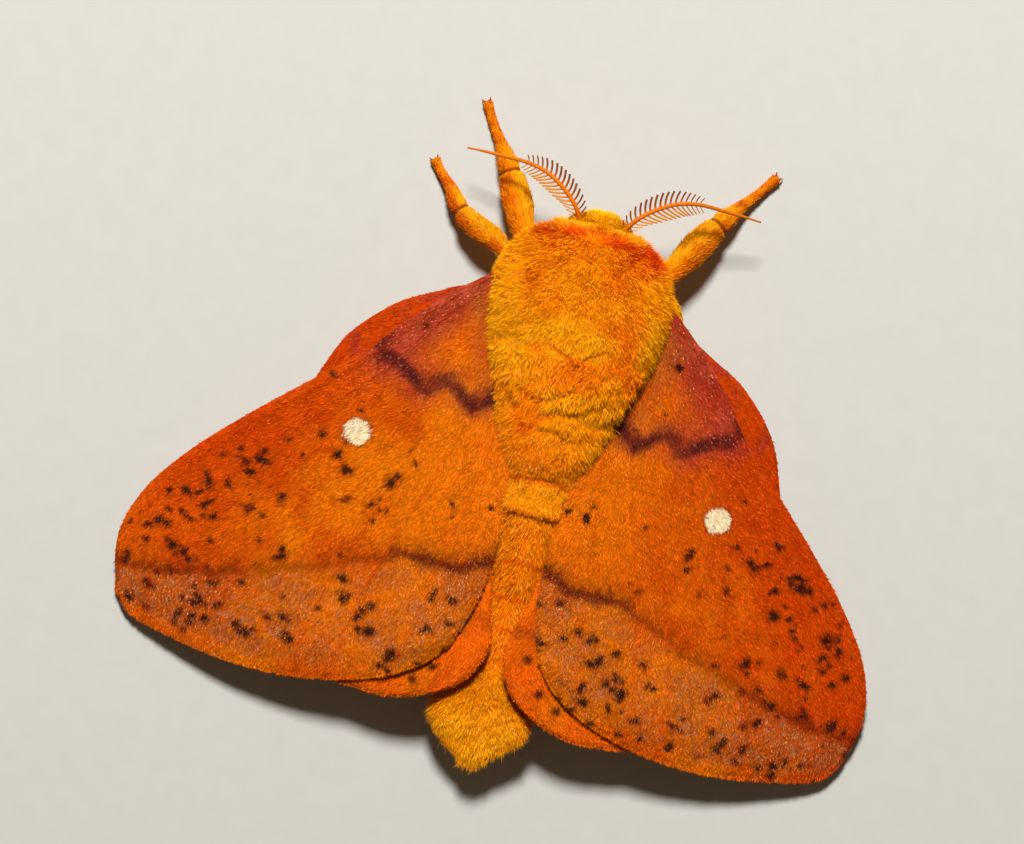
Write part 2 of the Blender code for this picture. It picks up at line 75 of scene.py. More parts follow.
wingEdges = {
    "forewing": {
        "root": [(3.4, -9.4), (2.4, -8.6), (1.9, -7.5)],
        "costa": [
            (3.4, -9.4), (6.0, -7.3), (8.2, -5.0), (9.9, -2.95), (11.7, -1.3),
            (14.6, 1.4), (17.4, 4.3), (19.3, 7.0), (20.05, 9.6), (19.6, 12.3),
        ],
        "outer": [
            (19.6, 12.3), (18.7, 13.3), (16.9, 13.8), (14.0, 14.25), (11.3, 14.3),
            (8.6, 13.95), (5.8, 13.1), (3.7, 11.85), (2.5, 10.5),
        ],
        "inner": [
            (1.9, -7.5), (1.3, -3.0), (1.2, 1.0), (1.35, 5.0), (1.5, 7.2), (1.95, 9.0), (2.5, 10.5),
        ],
        "veins": [
            (0.035, 0.0), (0.13, 0.0), (0.24, 0.45), (0.34, 0.48),
            (0.44, 0.5), (0.55, 0.45), (0.65, 0.0), (0.82, 0.0),
        ],
    },
    "hindwing": {
        "root": [(3.2, -7.6), (2.4, -6.8), (1.9, -5.6)],
        "costa": [
            (3.2, -7.6), (5.4, -7.5), (7.2, -6.65), (9.0, -5.55),
            (10.9, -3.5), (12.0, -1.0), (13.0, 2.0), (13.4, 5.5),
        ],
        "outer": [
            (13.4, 5.5), (12.8, 9.0), (10.8, 12.0), (8.3, 13.6), (6.3, 13.95), (4.3, 13.85), (2.5, 13.1),
        ],
        "inner": [
            (1.9, -5.6), (1.5, -1.0), (1.4, 3.0), (1.2, 6.4),
            (0.9, 8.0), (0.5, 10.2), (1.3, 12.1), (2.5, 13.1),
        ],
        "veins": [(0.08, 0.0), (0.25, 0.4), (0.42, 0.45), (0.58, 0.4), (0.74, 0.0), (0.9, 0.0)],
    },
}

# Sweep in degrees, stretch and shift of a wing, a leg or an antenna. The rest stand as drawn.
asDrawn = (0.0, (1.0, 1.0), (0.0, 0.0))
sidePoses = {
    "left": {"sign": 1},
    "right": {
        "sign": -1,
        "forewing": (2.6, (0.97, 0.98), (0.24, -0.14)),
        "hindwing": (1.2, (1.0, 1.0), (0.1, 0.1)),
        "foreleg": (7.0, (1.05, 1.05), (0.46, 0.12)),
        "midleg": (93.0, (1.0, 1.0), (0.0, 0.0)),
        "hindleg": (4.0, (1.0, 1.0), (0.0, 0.0)),
        "antenna": (3.3, (1.045, 1.045), (0.0, 0.0)),
    },
}

legStations = {  # x, y, z and radius from the hip to the foot
    "foreleg": [
        (2.3, -8.8, 3.0, 0.42), (3.55, -10.6, 2.35, 0.7), (4.1, -11.7, 1.95, 0.84),
        (4.6, -12.7, 1.55, 0.72), (5.05, -13.5, 1.15, 0.58), (5.6, -14.35, 0.72, 0.42),
        (6.3, -15.4, 0.38, 0.36), (6.8, -16.3, 0.3, 0.4),
    ],
    "midleg": [
        (4.0, -9.1, 2.7, 0.42), (4.75, -9.7, 2.35, 0.6), (5.5, -10.0, 2.05, 0.68),
        (6.4, -10.4, 1.65, 0.6), (7.1, -11.0, 1.15, 0.5), (7.6, -11.65, 0.75, 0.4),
        (8.3, -12.35, 0.36, 0.36), (8.7, -12.85, 0.3, 0.38),
    ],
    "hindleg": [
        (2.0, -4.2, 2.6, 0.55), (3.3, -2.4, 2.5, 0.62), (4.3, -0.8, 2.1, 0.7), (4.8, 1.0, 1.5, 0.62),
        (5.1, 2.7, 0.8, 0.48), (5.4, 4.1, 0.42, 0.4), (5.6, 5.2, 0.32, 0.36), (5.75, 5.9, 0.3, 0.4),
    ],
}

antennaStations = [
    (0.95, -11.6, 4.6, 0.3), (1.46, -12.53, 5.05, 0.29), (2.0, -13.1, 5.05, 0.28),
    (2.63, -13.57, 4.95, 0.27), (3.32, -13.92, 4.8, 0.26), (4.3, -14.12, 4.4, 0.25),
    (5.6, -14.11, 3.85, 0.24), (6.5, -14.09, 3.5, 0.18), (7.35, -14.04, 3.2, 0.07),
]


# Curves, noise and colour

def curveThrough(points, places):
    p = np.asarray(points, float)
    p = np.vstack([2 * p[0] - p[1], p, 2 * p[-1] - p[-2]])
    spans = len(p) - 3
    t = np.clip(np.asarray(places, float), 0, 1) * spans
    k = np.minimum(t.astype(int), spans - 1)
    f = (t - k)[..., None]
    a, b, c, d = p[k], p[k + 1], p[k + 2], p[k + 3]
    return 0.5 * (2 * b + (c - a) * f + (2 * a - 5 * b + 4 * c - d) * f**2 + (3 * b - 3 * c + d - a) * f**3)


def edgeAt(points, shares):
    curve = curveThrough(points, np.linspace(0, 1, 60 * len(points)))
    steps = np.r_[0, np.cumsum(np.linalg.norm(np.diff(curve, axis=0), axis=1))]
    wanted = np.asarray(shares) * steps[-1]
    return np.stack([np.interp(wanted, steps, curve[:, k]) for k in range(curve.shape[1])], axis=-1)


def unit(vectors):
    return vectors / np.maximum(np.linalg.norm(vectors, axis=-1, keepdims=True), 1e-9)


def ways(x, y, z):
    # Three coordinates, of which some may be single numbers, as one row for each place
    return np.stack(np.broadcast_arrays(x, y, z), axis=-1)


def ease(low, high, value):
    t = np.clip((value - low) / (high - low), 0, 1)
    return t * t * (3 - 2 * t)


def softNoise(x, y, size, seed):
    cells = 97  # the pattern repeats after this many
    table = np.random.default_rng(seed).random((cells, cells))
    gx, gy = np.asarray(x) / size, np.asarray(y) / size
    i, j = np.floor(gx).astype(int), np.floor(gy).astype(int)
    fx, fy = gx - i, gy - j
    fx, fy = fx * fx * (3 - 2 * fx), fy * fy * (3 - 2 * fy)
    i0, i1, j0, j1 = i % cells, (i + 1) % cells, j % cells, (j + 1) % cells
    top = table[i0, j0] * (1 - fx) + table[i1, j0] * fx
    low = table[i0, j1] * (1 - fx) + table[i1, j1] * fx
    return top * (1 - fy) + low * fy


def paint(red, green, blue):
    # A colour as seen on screen, 0 to 255, as the light that it stands for
    c = np.array([red, green, blue], float) / 255
    return np.where(c <= 0.04045, c / 12.92, ((c + 0.055) / 1.055) ** 2.4)


def makePalette(**colours):
    return {name: paint(*colour) for name, colour in colours.items()}


def blendTo(base, colour, share):
    return base + (colour - base) * np.clip(share, 0, 1)[..., None]


def layered(colour, palette, *layers):
    # Lays colours of a palette over this one in turn, each with its own share
    for name, share in layers:
        colour = blendTo(colour, palette[name], share)
    return colour


def evenPlaces(count, seed):
    # Two numbers from 0 to 1 for each place, spread evenly with a little jitter
    steps = (0.7548776662, 0.5698402910)  # these fill a square evenly
    jitter = np.random.default_rng(seed).random((count, 2)) * 0.6 / math.sqrt(count)
    return (0.5 + np.arange(count)[:, None] * steps) % 1 * 0.999 + jitter * 0.5


# Node helpers: maths on sockets reads as plain expressions

class Wire:
    def __init__(self, tree, socket):
        self.tree = tree
        self.socket = socket

    def maths(self, operation, first, second):
        node = self.tree.nodes.new("ShaderNodeMath")
        node.operation = operation
        for socket, value in zip(node.inputs, (first, second)):
            if isinstance(value, Wire):
                self.tree.links.new(value.socket, socket)
            else:
                socket.default_value = value
        return Wire(self.tree, node.outputs[0])

    def __add__(self, other):
        return self.maths("ADD", self, other)

    def __radd__(self, other):
        return self.maths("ADD", other, self)

    def __sub__(self, other):
        return self.maths("SUBTRACT", self, other)

    def __rsub__(self, other):
        return self.maths("SUBTRACT", other, self)

    def __mul__(self, other):
        return self.maths("MULTIPLY", self, other)

    def __rmul__(self, other):
        return self.maths("MULTIPLY", other, self)

    def __truediv__(self, other):
        return self.maths("DIVIDE", self, other)

    def __rtruediv__(self, other):
        return self.maths("DIVIDE", other, self)


class Nodes:
    def __init__(self, tree):
        self.tree = tree

    def add(self, kind, settings, sockets, output=0):
        node = self.tree.nodes.new(kind)
        for key, value in settings.items():
            setattr(node, key, value)
        self.feed(node, sockets)
        return Wire(self.tree, node.outputs[output]) if node.outputs else None

    def feed(self, node, sockets):
        for key, value in sockets.items():
            if isinstance(value, Wire):
                self.tree.links.new(value.socket, node.inputs[key])
            else:
                node.inputs[key].default_value = value


class Finish(Nodes):
    def __init__(self, name):
        self.material = bpy.data.materials.new(name)
        self.material.use_nodes = True
        super().__init__(self.material.node_tree)
        self.shader = self.tree.nodes["Principled BSDF"]

    def spots(self, scale, detail=3.0):
        place = self.add("ShaderNodeTexCoord", {}, {}, "Object")
        return self.add("ShaderNodeTexNoise", {}, {"Vector": place, "Scale": scale, "Detail": detail}, "Fac")

    def mixed(self, share, first, second, blend="MIX"):
        sockets = {0: share, 6: first, 7: second}
        return self.add("ShaderNodeMix", {"data_type": "RGBA", "blend_type": blend}, sockets, 2)

    def close(self, colour, roughness, gloss, height, strength, bumpSize):
        sockets = {"Height": height, "Strength": strength, "Distance": bumpSize * mm}
        bump = self.add("ShaderNodeBump", {}, sockets)
        sockets = {"Base Color": colour, "Roughness": roughness, "Normal": bump, "Specular IOR Level": gloss}
        self.feed(self.shader, sockets)
        return self.material


def makeCoatFinish(name, look):
    finish = Finish(name)
    tint = finish.add("ShaderNodeAttribute", {"attribute_name": "tint"}, {}, "Color")
    fine = finish.spots(look["fineness"], 4.0)
    broad = finish.spots(look["fineness"] / 7)
    shade = 1 + (fine - 0.5) * look["depth"] + (broad - 0.5) * look["depth"] * 0.6
    grey = finish.add("ShaderNodeCombineColor", {}, {"Red": shade, "Green": shade, "Blue": shade})
    toned = finish.mixed(1.0, tint, grey, "MULTIPLY")
    sheen = {"Sheen Weight": look["sheen"], "Sheen Roughness": 0.4, "Sheen Tint": (1.0, 0.42, 0.06, 1.0)}
    finish.feed(finish.shader, sheen)
    roughness = look["roughness"] + (fine - 0.5) * 0.2
    return finish.close(toned, roughness, look["gloss"], fine, 0.5, look["bump"])


eyeFinish = {
    "facets": 14000.0, "fineness": 1500.0, "roughness": 0.16, "gloss": 0.3, "bump": 0.02,
    "dark": (0.012, 0.006, 0.004, 1.0), "light": (0.05, 0.022, 0.01, 1.0),
}


def makeEyeFinish(name, look):
    finish = Finish(name)
    place = finish.add("ShaderNodeTexCoord", {}, {}, "Object")
    facets = finish.add("ShaderNodeTexVoronoi", {}, {"Vector": place, "Scale": look["facets"]}, "Distance")
    broad = finish.spots(look["fineness"])
    colour = finish.mixed(broad, look["dark"], look["light"])
    roughness = look["roughness"] + broad * 0.1
    return finish.close(colour, roughness, look["gloss"], 1 - facets, 0.35, look["bump"])


def makeHornFinish(name, dark, light, roughness, root=None):
    finish = Finish(name)
    grain = finish.spots(5200.0)
    colour = finish.mixed(grain, (*paint(*dark), 1), (*paint(*light), 1))
    if root is not None:
        # The branches start in the colour of their shaft
        share = finish.add("ShaderNodeAttribute", {"attribute_name": "share"}, {}, "Fac")
        colour = finish.mixed(share * 2.6 - 0.2, (*paint(*root), 1), colour)
    return finish.close(colour, roughness + grain * 0.15, 0.12, grain, 0.4, 0.02)


coatFinishes = {  # fineness is grains to the metre, bump is in millimetres
    "wingScales": dict(roughness=0.65, sheen=0.0, gloss=0.025, fineness=2600.0, depth=0.35, bump=0.04),
    "wingSkin": dict(roughness=0.7, sheen=0.0, gloss=0.03, fineness=3200.0, depth=0.4, bump=0.08),
    "bodyFur": dict(roughness=0.6, sheen=0.02, gloss=0.035, fineness=1800.0, depth=0.25, bump=0.03),
    "bodySkin": dict(roughness=0.75, sheen=0.04, gloss=0.05, fineness=2600.0, depth=0.4, bump=0.08),
    "legFur": dict(roughness=0.6, sheen=0.03, gloss=0.05, fineness=2200.0, depth=0.22, bump=0.03),
}
shaftRed = (200, 88, 3)
hornFinishes = {  # dark and light of the grain, roughness, and what a branch starts in
    "antennaShaft": ((186, 84, 2), (220, 124, 4), 0.6),
    "antennaFrontRow": ((94, 42, 4), (148, 70, 8), 0.6, shaftRed),
    "antennaRearRow": ((186, 108, 4), (228, 156, 26), 0.6, shaftRed),
    "claws": ((92, 44, 8), (150, 80, 18), 0.4),
}
finishes = {name: makeCoatFinish(name, look) for name, look in coatFinishes.items()}
finishes["eyeFacets"] = makeEyeFinish("eyeFacets", eyeFinish)
for name, values in hornFinishes.items():
    finishes[name] = makeHornFinish(name, *values)
print("finishes made")


# Pieces

def newObject(name, data):
    obj = bpy.data.objects.new(name, data)
    bpy.context.scene.collection.objects.link(obj)
    return obj


def plainMesh(obj):
    # The object's mesh with its modifiers applied. The object itself goes.
    mesh = bpy.data.meshes.new_from_object(obj.evaluated_get(bpy.context.evaluated_depsgraph_get()))
    bpy.data.objects.remove(obj)
    return mesh


def addMesh(name, points, faces, finish, tint=None, patches=None):
    # points in millimetres on the body line, faces as arrays of three or four corners
    points = np.asarray(points, float).copy()
    points[:, 0] -= boxMiddleX
    groups = [np.asarray(group, int) for group in faces if len(group)]
    corners = np.concatenate([group.reshape(-1) for group in groups])
    sizes = np.concatenate([np.full(len(group), group.shape[1]) for group in groups])
    mesh = bpy.data.meshes.new(name)
    mesh.vertices.add(len(points))
    mesh.vertices.foreach_set("co", (points * mm).astype(np.float32).reshape(-1))
    mesh.loops.add(len(corners))
    mesh.loops.foreach_set("vertex_index", corners.astype(np.int32))
    mesh.polygons.add(len(sizes))
    mesh.polygons.foreach_set("loop_start", np.r_[0, np.cumsum(sizes)[:-1]].astype(np.int32))
    mesh.update(calc_edges=True)
    mesh.validate()
    mesh.materials.append(finishes[finish])
    if tint is not None:
        layer = mesh.attributes.new("tint", "FLOAT_COLOR", "POINT")
        values = np.ones((len(tint), 4), np.float32)
        values[:, :3] = tint
        layer.data.foreach_set("color", values.reshape(-1))
    if patches is not None:
        layer = mesh.uv_layers.new(name="OFBake")
        layer.data.foreach_set("uv", patches[corners].astype(np.float32).reshape(-1))
    mesh.polygons.foreach_set("use_smooth", np.ones(len(sizes), bool))
    return newObject(name, mesh)


def settle(obj, slot, *replaced):
    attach(obj, "root")
    if replaced:
        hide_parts(*replaced)
    return obj


def faceOutwards(mesh):
    bm = bmesh.new()
    bm.from_mesh(mesh)
    bmesh.ops.recalc_face_normals(bm, faces=bm.faces[:])
    bm.to_mesh(mesh)
    bm.free()


def joinForms(forms):
    # Closes each stack of rings with quads and a fan over each end, and joins them all
    points, quads, caps, start = [], [], [], 0
    for rings in forms:
        count, size = rings.shape[:2]
        k = np.arange(size)
        nextK = (k + 1) % size
        for ring in range(count - 1):
            base = start + ring * size
            quads.append(base + np.stack([k, nextK, size + nextK, size + k], axis=1))
        end = np.full(size, count * size)
        last = (count - 1) * size
        caps.append(start + np.stack([nextK, k, end], axis=1))
        caps.append(start + np.stack([last + k, last + nextK, end + 1], axis=1))
        middles = [rings[0].mean(axis=0), rings[-1].mean(axis=0)]
        points.append(np.concatenate([rings.reshape(-1, 3), middles]))
        start += count * size + 2
    return np.concatenate(points), [np.concatenate(quads), np.concatenate(caps)]


def ovalPoints(section, y, angle, grow=0.0, centre=0.0):
    half, middle, top, bottom = section
    rise = np.sin(angle)
    reach = np.where(rise > 0, top - middle, middle - bottom) + grow
    return ways(centre + (half + grow) * np.cos(angle), y, middle + reach * rise)


class Trunk:
    # A body form through sections of y, half width, widest level, top and bottom
    def __init__(self, sections, centre=0.0):
        table = curveThrough(sections, np.linspace(0, 1, 400))
        self.table = table[np.argsort(table[:, 0])]
        self.centre = centre
        self.first, self.last = self.table[0, 0], self.table[-1, 0]

    def section(self, y):
        return [np.interp(y, self.table[:, 0], self.table[:, k]) for k in range(1, 5)]

    def point(self, y, angle, grow):
        return ovalPoints(self.section(y), y, angle, grow, self.centre)

    def normal(self, y, angle):
        step = 0.05
        around = self.point(y, angle + step, 0) - self.point(y, angle - step, 0)
        along = self.point(y + step, angle, 0) - self.point(y - step, angle, 0)
        return unit(np.cross(along, around))

    def holds(self, points, grow):
        half, middle, top, bottom = self.section(points[:, 1])
        reach = np.where(points[:, 2] > middle, top - middle, middle - bottom) + grow
        across = (points[:, 0] - self.centre) / np.maximum(half + grow, 0.01)
        up = (points[:, 2] - middle) / np.maximum(reach, 0.01)
        inRange = (points[:, 1] > self.first - grow) & (points[:, 1] < self.last + grow)
        return inRange & (across**2 + up**2 < 1)

    def rings(self, grow, count, size, first, last):
        angles = np.arange(size) * fullTurn / size
        return np.stack([self.point(np.full(size, y), angles, grow) for y in np.linspace(first, last, count)])


class Limb:
    # A round form along stations of x, y, z and radius
    def __init__(self, stations):
        self.table = curveThrough(stations, np.linspace(0, 1, 300))
        middle = self.table[:, :3]
        self.ahead = unit(np.gradient(middle, axis=0))
        self.side = unit(np.cross(self.ahead, [0.0, 0.0, 1.0]))
        self.up = np.cross(self.side, self.ahead)
        self.length = float(np.linalg.norm(np.diff(middle, axis=0), axis=1).sum())

    def pick(self, rows, share):
        at = np.clip(np.asarray(share), 0, 1) * (len(self.table) - 1)
        low = np.minimum(at.astype(int), len(self.table) - 2)
        f = (at - low)[..., None]
        return rows[low] * (1 - f) + rows[low + 1] * f

    def outward(self, share, angle):
        side, up = self.pick(self.side, share), self.pick(self.up, share)
        return side * np.cos(angle)[..., None] + up * np.sin(angle)[..., None]

    def point(self, share, angle, grow, scale=1.0):
        place = self.pick(self.table, share)
        radius = np.maximum(place[..., 3] * scale + grow, 0.05)
        return place[..., :3] + self.outward(share, angle) * radius[..., None]

    def rings(self, grow, count, size, scale=1.0):
        angles = np.arange(size) * fullTurn / size
        shares = np.linspace(0, 1, count)
        return np.stack([self.point(np.full(size, s), angles, grow, scale) for s in shares])


def posed(x, y, kind, side, rootX=0.0, rootY=0.0):
    # A place on the left side's drawing, stretched and turned about its root for this side
    sweep, stretch, shift = sidePoses[side].get(kind, asDrawn)
    turn = math.radians(sweep)
    x, y = (x - rootX) * stretch[0], (y - rootY) * stretch[1]
    turnedX = rootX + x * math.cos(turn) - y * math.sin(turn)
    turnedY = rootY + x * math.sin(turn) + y * math.cos(turn)
    return turnedX + shift[0], turnedY + shift[1]


def posedLimb(stations, kind, side, middle=0.0):
    rows = []
    for *place, z, radius in stations:
        x, y = posed(*place, kind, side, *stations[0][:2])
        rows.append((middle + x * sidePoses[side]["sign"], y, z, radius))
    return Limb(rows)


trunks = {name: Trunk(rows, headX if name == "head" else 0.0) for name, rows in trunkSections.items()}
legs = {
    (kind, side): posedLimb(stations, kind, side)
    for side in sidePoses for kind, stations in legStations.items()
}
print("forms measured")


# Colours of the hair, by place

furPalette = makePalette(
    gold=(244, 161, 2), amber=(238, 141, 1), orange=(236, 114, 1), red=(212, 64, 2),
    yellow=(252, 190, 12), deep=(206, 66, 0), joint=(120, 42, 2), shine=(255, 214, 96),
)

yellowPatches = (  # middle, size and strength
    ((0.5, -6.2), (1.6, 1.3), 0.6), ((-1.3, -6.2), (1.0, 0.9), 0.5),
    ((2.7, -5.2), (1.0, 1.6), 0.5), ((-3.3, -8.2), (0.8, 2.6), 0.35),
    ((3.6, -7.6), (0.7, 2.6), 0.4), ((-0.6, -3.2), (2.2, 0.7), 0.35),
)

redPatches = (  # the collar behind the head, then redder patches among the gold
    ((2.5, -11.05), (0.8, 0.5), 0.9), ((1.6, -11.55), (1.0, 0.45), 1.0),
    ((0.5, -11.75), (0.8, 0.35), 0.6), ((-0.6, -11.7), (0.8, 0.35), 0.7),
    ((-1.5, -11.5), (0.8, 0.45), 0.9), ((-2.3, -11.2), (0.8, 0.5), 1.0),
    ((-3.1, -10.7), (0.6, 0.5), 0.9), ((2.4, -8.7), (0.5, 0.4), 0.28),
    ((1.5, -7.8), (0.8, 0.6), 0.22), ((-1.5, -9.6), (0.8, 0.4), 0.2),
    ((-2.4, -7.6), (0.9, 0.9), 0.32), ((0.3, -0.2), (1.5, 1.2), 0.22),
)

furrows = [
    [(1.81, -3.42), (1.17, -3.16), (0.42, -3.47), (-0.54, -3.98)],
    [(2.7, -3.5), (1.89, -2.17), (1.3, -1.54), (0.64, -2.27), (-0.13, -2.75), (-1.11, -2.95), (-2.2, -3.5)],
    [(1.7, -1.2), (1.08, -1.43), (0.01, -1.75), (-0.79, -1.4), (-1.44, -1.58), (-2.12, -2.45)],
    [(1.35, 1.18), (0.48, 1.1), (-0.52, 1.0), (-1.19, 1.1)],
    [(1.2, -6.0), (0.4, -5.6), (-0.31, -5.15), (-0.92, -5.8), (-1.6, -6.2)],
]
abdomenSeams = (1.25, 2.95, 5.7, 7.65, 9.4)


def patchShare(x, y, middle, size, warp):
    away = np.hypot((x - middle[0]) / size[0], (y - middle[1]) / size[1]) + (warp - 0.5) * 0.7
    return ease(1.4, 0.35, away)


def lineGap(x, y, line, count):
    # Distance from a smooth line, taken at this many spots along it
    gap = np.full(len(x), 99.0)
    for spot in curveThrough(line, np.linspace(0, 1, count)):
        gap = np.minimum(gap, np.hypot(x - spot[0], y - spot[1]))
    return gap


def furrowShare(x, y, width):
    return ease(width, 0.0, np.min([lineGap(x, y, line, 40) for line in furrows], axis=0))


def bodyColour(points):
    x, y, z = points.T
    broad, fine, middle = (
        softNoise(x, y + z * 0.7, size, seed) for size, seed in ((1.3, 3), (0.45, 4), (0.9, 5))
    )
    onThorax = ease(0.6, -1.4, y)
    colour = layered(
        np.tile(furPalette["amber"], (len(points), 1)), furPalette,
        ("gold", onThorax * (0.3 + 0.7 * ease(0.3, 0.7, broad))),
        ("orange", onThorax * ease(0.5, 0.2, broad) * 0.45),
        *(("yellow", patchShare(x, y, *patch, middle) * share) for *patch, share in yellowPatches),
        *(
            ("red", patchShare(x, y, *patch, fine) * share * ease(5.0, 6.0, z))
            for *patch, share in redPatches
        ),
    )
    # Furrows between the locks towards the rear are painted deep red, as painted shade in the creases where
    # the roots show
    near = furrowShare(x + (fine - 0.5) * 0.2, y + (middle - 0.5) * 0.2, 0.16)
    colour = layered(colour, furPalette, ("deep", near * ease(4.6, 5.4, z) * 0.85))
    # The abdomen: darker seams between its rings, and a brighter band near its middle
    onBack = ease(0.2, 1.2, y) * ease(12.2, 11.0, y)
    for seam in abdomenSeams:
        nearSeam = ease(0.24, 0.0, np.abs(y - seam + (fine - 0.5) * 0.25))
        colour = layered(colour, furPalette, ("deep", onBack * nearSeam * 0.75))
    # The tail, the flanks, the front rim, the head and the underside
    flank = ease(2.9, 4.2, np.abs(x)) * ease(-1.5, -3.5, y)
    onHead = ease(-11.9, -12.2, y)
    colour = layered(
        colour, furPalette,
        ("yellow", onBack * ease(1.1, 0.6, np.abs(y - 2.1)) * 0.22),
        ("orange", onBack * ease(3.0, 6.0, y) * 0.2),
        ("gold", ease(11.2, 12.6, y) * 0.35),
        ("yellow", ease(13.0, 15.0, y) * ease(0.3, 0.8, broad) * 0.35),
        ("gold", flank * (0.25 + 0.4 * broad)),
        ("yellow", ease(-11.0, -11.6, y) * ease(7.0, 6.2, z) * 0.6),
        ("yellow", onHead * (0.7 + 0.3 * fine)),
        ("yellow", ease(4.6, 3.0, z) * ease(-1.0, -6.0, y) * 0.45),
    )
    # The flank and the rear slope away from the lamp are warmer, as light that has passed through hair is
    shaded = np.maximum(ease(1.2, 3.6, -x), 0.75 * ease(-5.5, -2.5, y)) * onThorax
    warm = shaded[:, None] * [0.18, 0.0, -0.3]
    # The flanks and the head are also painted lighter, as painted light where their hair turns away from the
    # lamp
    return colour * (1 + warm) * ((0.9 + 0.2 * fine) * (1 + 0.22 * flank + 0.15 * onHead))[:, None]


def legColour(limb, kind, share, angle, sign):
    fine = softNoise(share * limb.length, angle * 0.4, 0.35, 6)
    broad = softNoise(share * limb.length, angle * 0.4, 1.2, 7)
    inner = ease(-0.3, 0.5, np.cos(angle) * sign)
    redness = 0.55 if kind == "midleg" else 0.22
    rings = ((0.5, 0.85), (0.72, 0.2))  # the dark joints: share of the leg's length, and strength
    colour = layered(
        np.tile(furPalette["orange"], (len(share), 1)), furPalette,
        ("gold", 0.35 + 0.6 * ease(0.3, 0.8, fine)),
        ("yellow", inner * ease(0.75, 0.5, share) * 0.8),
        ("red", redness * ease(0.2, 0.7, broad) * (1 - 0.7 * inner)),
        *(("joint", ease(0.018, 0.008, np.abs(share - joint)) * strength) for joint, strength in rings),
    )
    return colour * (0.81 + 0.16 * fine)[:, None]


# The body's skin: one closed surface under all the hair of the trunk, head, tail and legs

bodySkin = {
    "depth": {"thorax": 0.38, "abdomen": 0.22, "tail": 0.42, "head": 0.32},
    "legDepth": 0.16, "voxel": 0.11, "smoothing": 5, "gapShade": (0.95, 0.45, 0.3),
    "rings": {  # how many, their corners, and the first and last level
        "thorax": (30, 40, -11.7, -2.6),
        "abdomen": (40, 32, -2.3, 11.0),
        "tail": (24, 32, 11.3, 15.9),
        "head": (16, 28, -12.45, -10.2),
    },
    "cores": (  # short forms inside carry the skin across the waist, the rear and the neck
        (12, [(-5.0, 2.4, 4.8, 7.2, 2.2), (-2.4, 2.5, 4.7, 6.95, 2.3), (0.5, 1.9, 4.4, 6.2, 2.4)]),
        (12, [(9.5, 1.0, 3.0, 3.95, 2.1), (11.2, 0.95, 2.85, 3.6, 2.05), (12.6, 1.3, 2.75, 3.4, 2.1)]),
        (10, [(-11.6, 1.0, 4.3, 5.2, 3.4), (-10.4, 1.2, 4.4, 5.6, 3.2), (-9.0, 1.4, 4.6, 6.2, 3.0)]),
    ),
}


def coreRings(count, sections, size=28):
    angles = np.arange(size) * fullTurn / size
    rows = curveThrough(sections, np.linspace(0, 1, count))
    return np.array([ovalPoints(section, np.full(size, y), angles) for y, *section in rows])


def buildBodySkin():
    depths = bodySkin["depth"]
    forms = [trunks[part].rings(-depths[part], *rings) for part, rings in bodySkin["rings"].items()]
    forms += [coreRings(*core) for core in bodySkin["cores"]]
    forms += [limb.rings(-bodySkin["legDepth"], 60, 14) for limb in legs.values()]
    points, faces = joinForms(forms)
    mesh = bpy.data.meshes.new("bodySkinForms")
    mesh.from_pydata(points.tolist(), [], faces[0].tolist() + faces[1].tolist())
    faceOutwards(mesh)
    obj = newObject("bodySkinForms", mesh)
    remesh = obj.modifiers.new("oneSkin", "REMESH")
    remesh.mode = "VOXEL"
    remesh.voxel_size = bodySkin["voxel"]
    smooth = obj.modifiers.new("softer", "SMOOTH")
    smooth.iterations = bodySkin["smoothing"]
    smooth.factor = 0.5
    made = plainMesh(obj)
    places = np.zeros(len(made.vertices) * 3)
    made.vertices.foreach_get("co", places)
    places = places.reshape(-1, 3)
    places[:, 2] = np.maximum(places[:, 2], 0.01)
    faces = [list(face.vertices) for face in made.polygons]
    bpy.data.meshes.remove(made)
    # The skin shows only in the gaps between the hairs, so its colour is painted darker and redder, as
    # painted shade
    tint = bodyColour(places) * bodySkin["gapShade"]
    # The legs take their own colour from the nearest leg
    for (kind, side), limb in legs.items():
        middle = limb.table[::6, :3]
        away = np.full(len(places), 9.0)
        near = np.zeros(len(places))
        for k, spot in enumerate(middle):
            gap = np.linalg.norm(places - spot, axis=1)
            near = np.where(gap < away, k / (len(middle) - 1), near)
            away = np.minimum(away, gap)
        radius = limb.pick(limb.table, near)[:, 3]
        share = ease(0.35, 0.0, away - radius) * ease(0.08, 0.2, near)
        own = legColour(limb, kind, near, np.full(len(places), 1.5), 1) * bodySkin["gapShade"]
        tint = tint + (own - tint) * share[:, None]
    groups = [[face for face in faces if len(face) == size] for size in (4, 3)]
    legNodes = [f"{kind}_{side}" for kind in legStations for side in sidePoses]
    skin = addMesh("bodySkin", places, groups, "bodySkin", tint)
    return settle(skin, "body_fur", "thorax", "abdomen", "head", "tail_tuft", *legNodes)


skinPiece = buildBodySkin()
print("body skin:", len(skinPiece.data.polygons), "faces")


# Hair: each blade is a thin strip of three triangles that bends over to lie along the body

bladeLook = {
    "lengths": (0.7, 1.15), "widths": (0.75, 1.25), "bendAt": 0.55, "bendWidth": 0.8, "tones": (0.55, 1.5),
    "lifts": (0.03, 1.4), "lowest": 0.02, "shineLevels": (0.2, 0.9), "patchHalf": 0.0015,
}


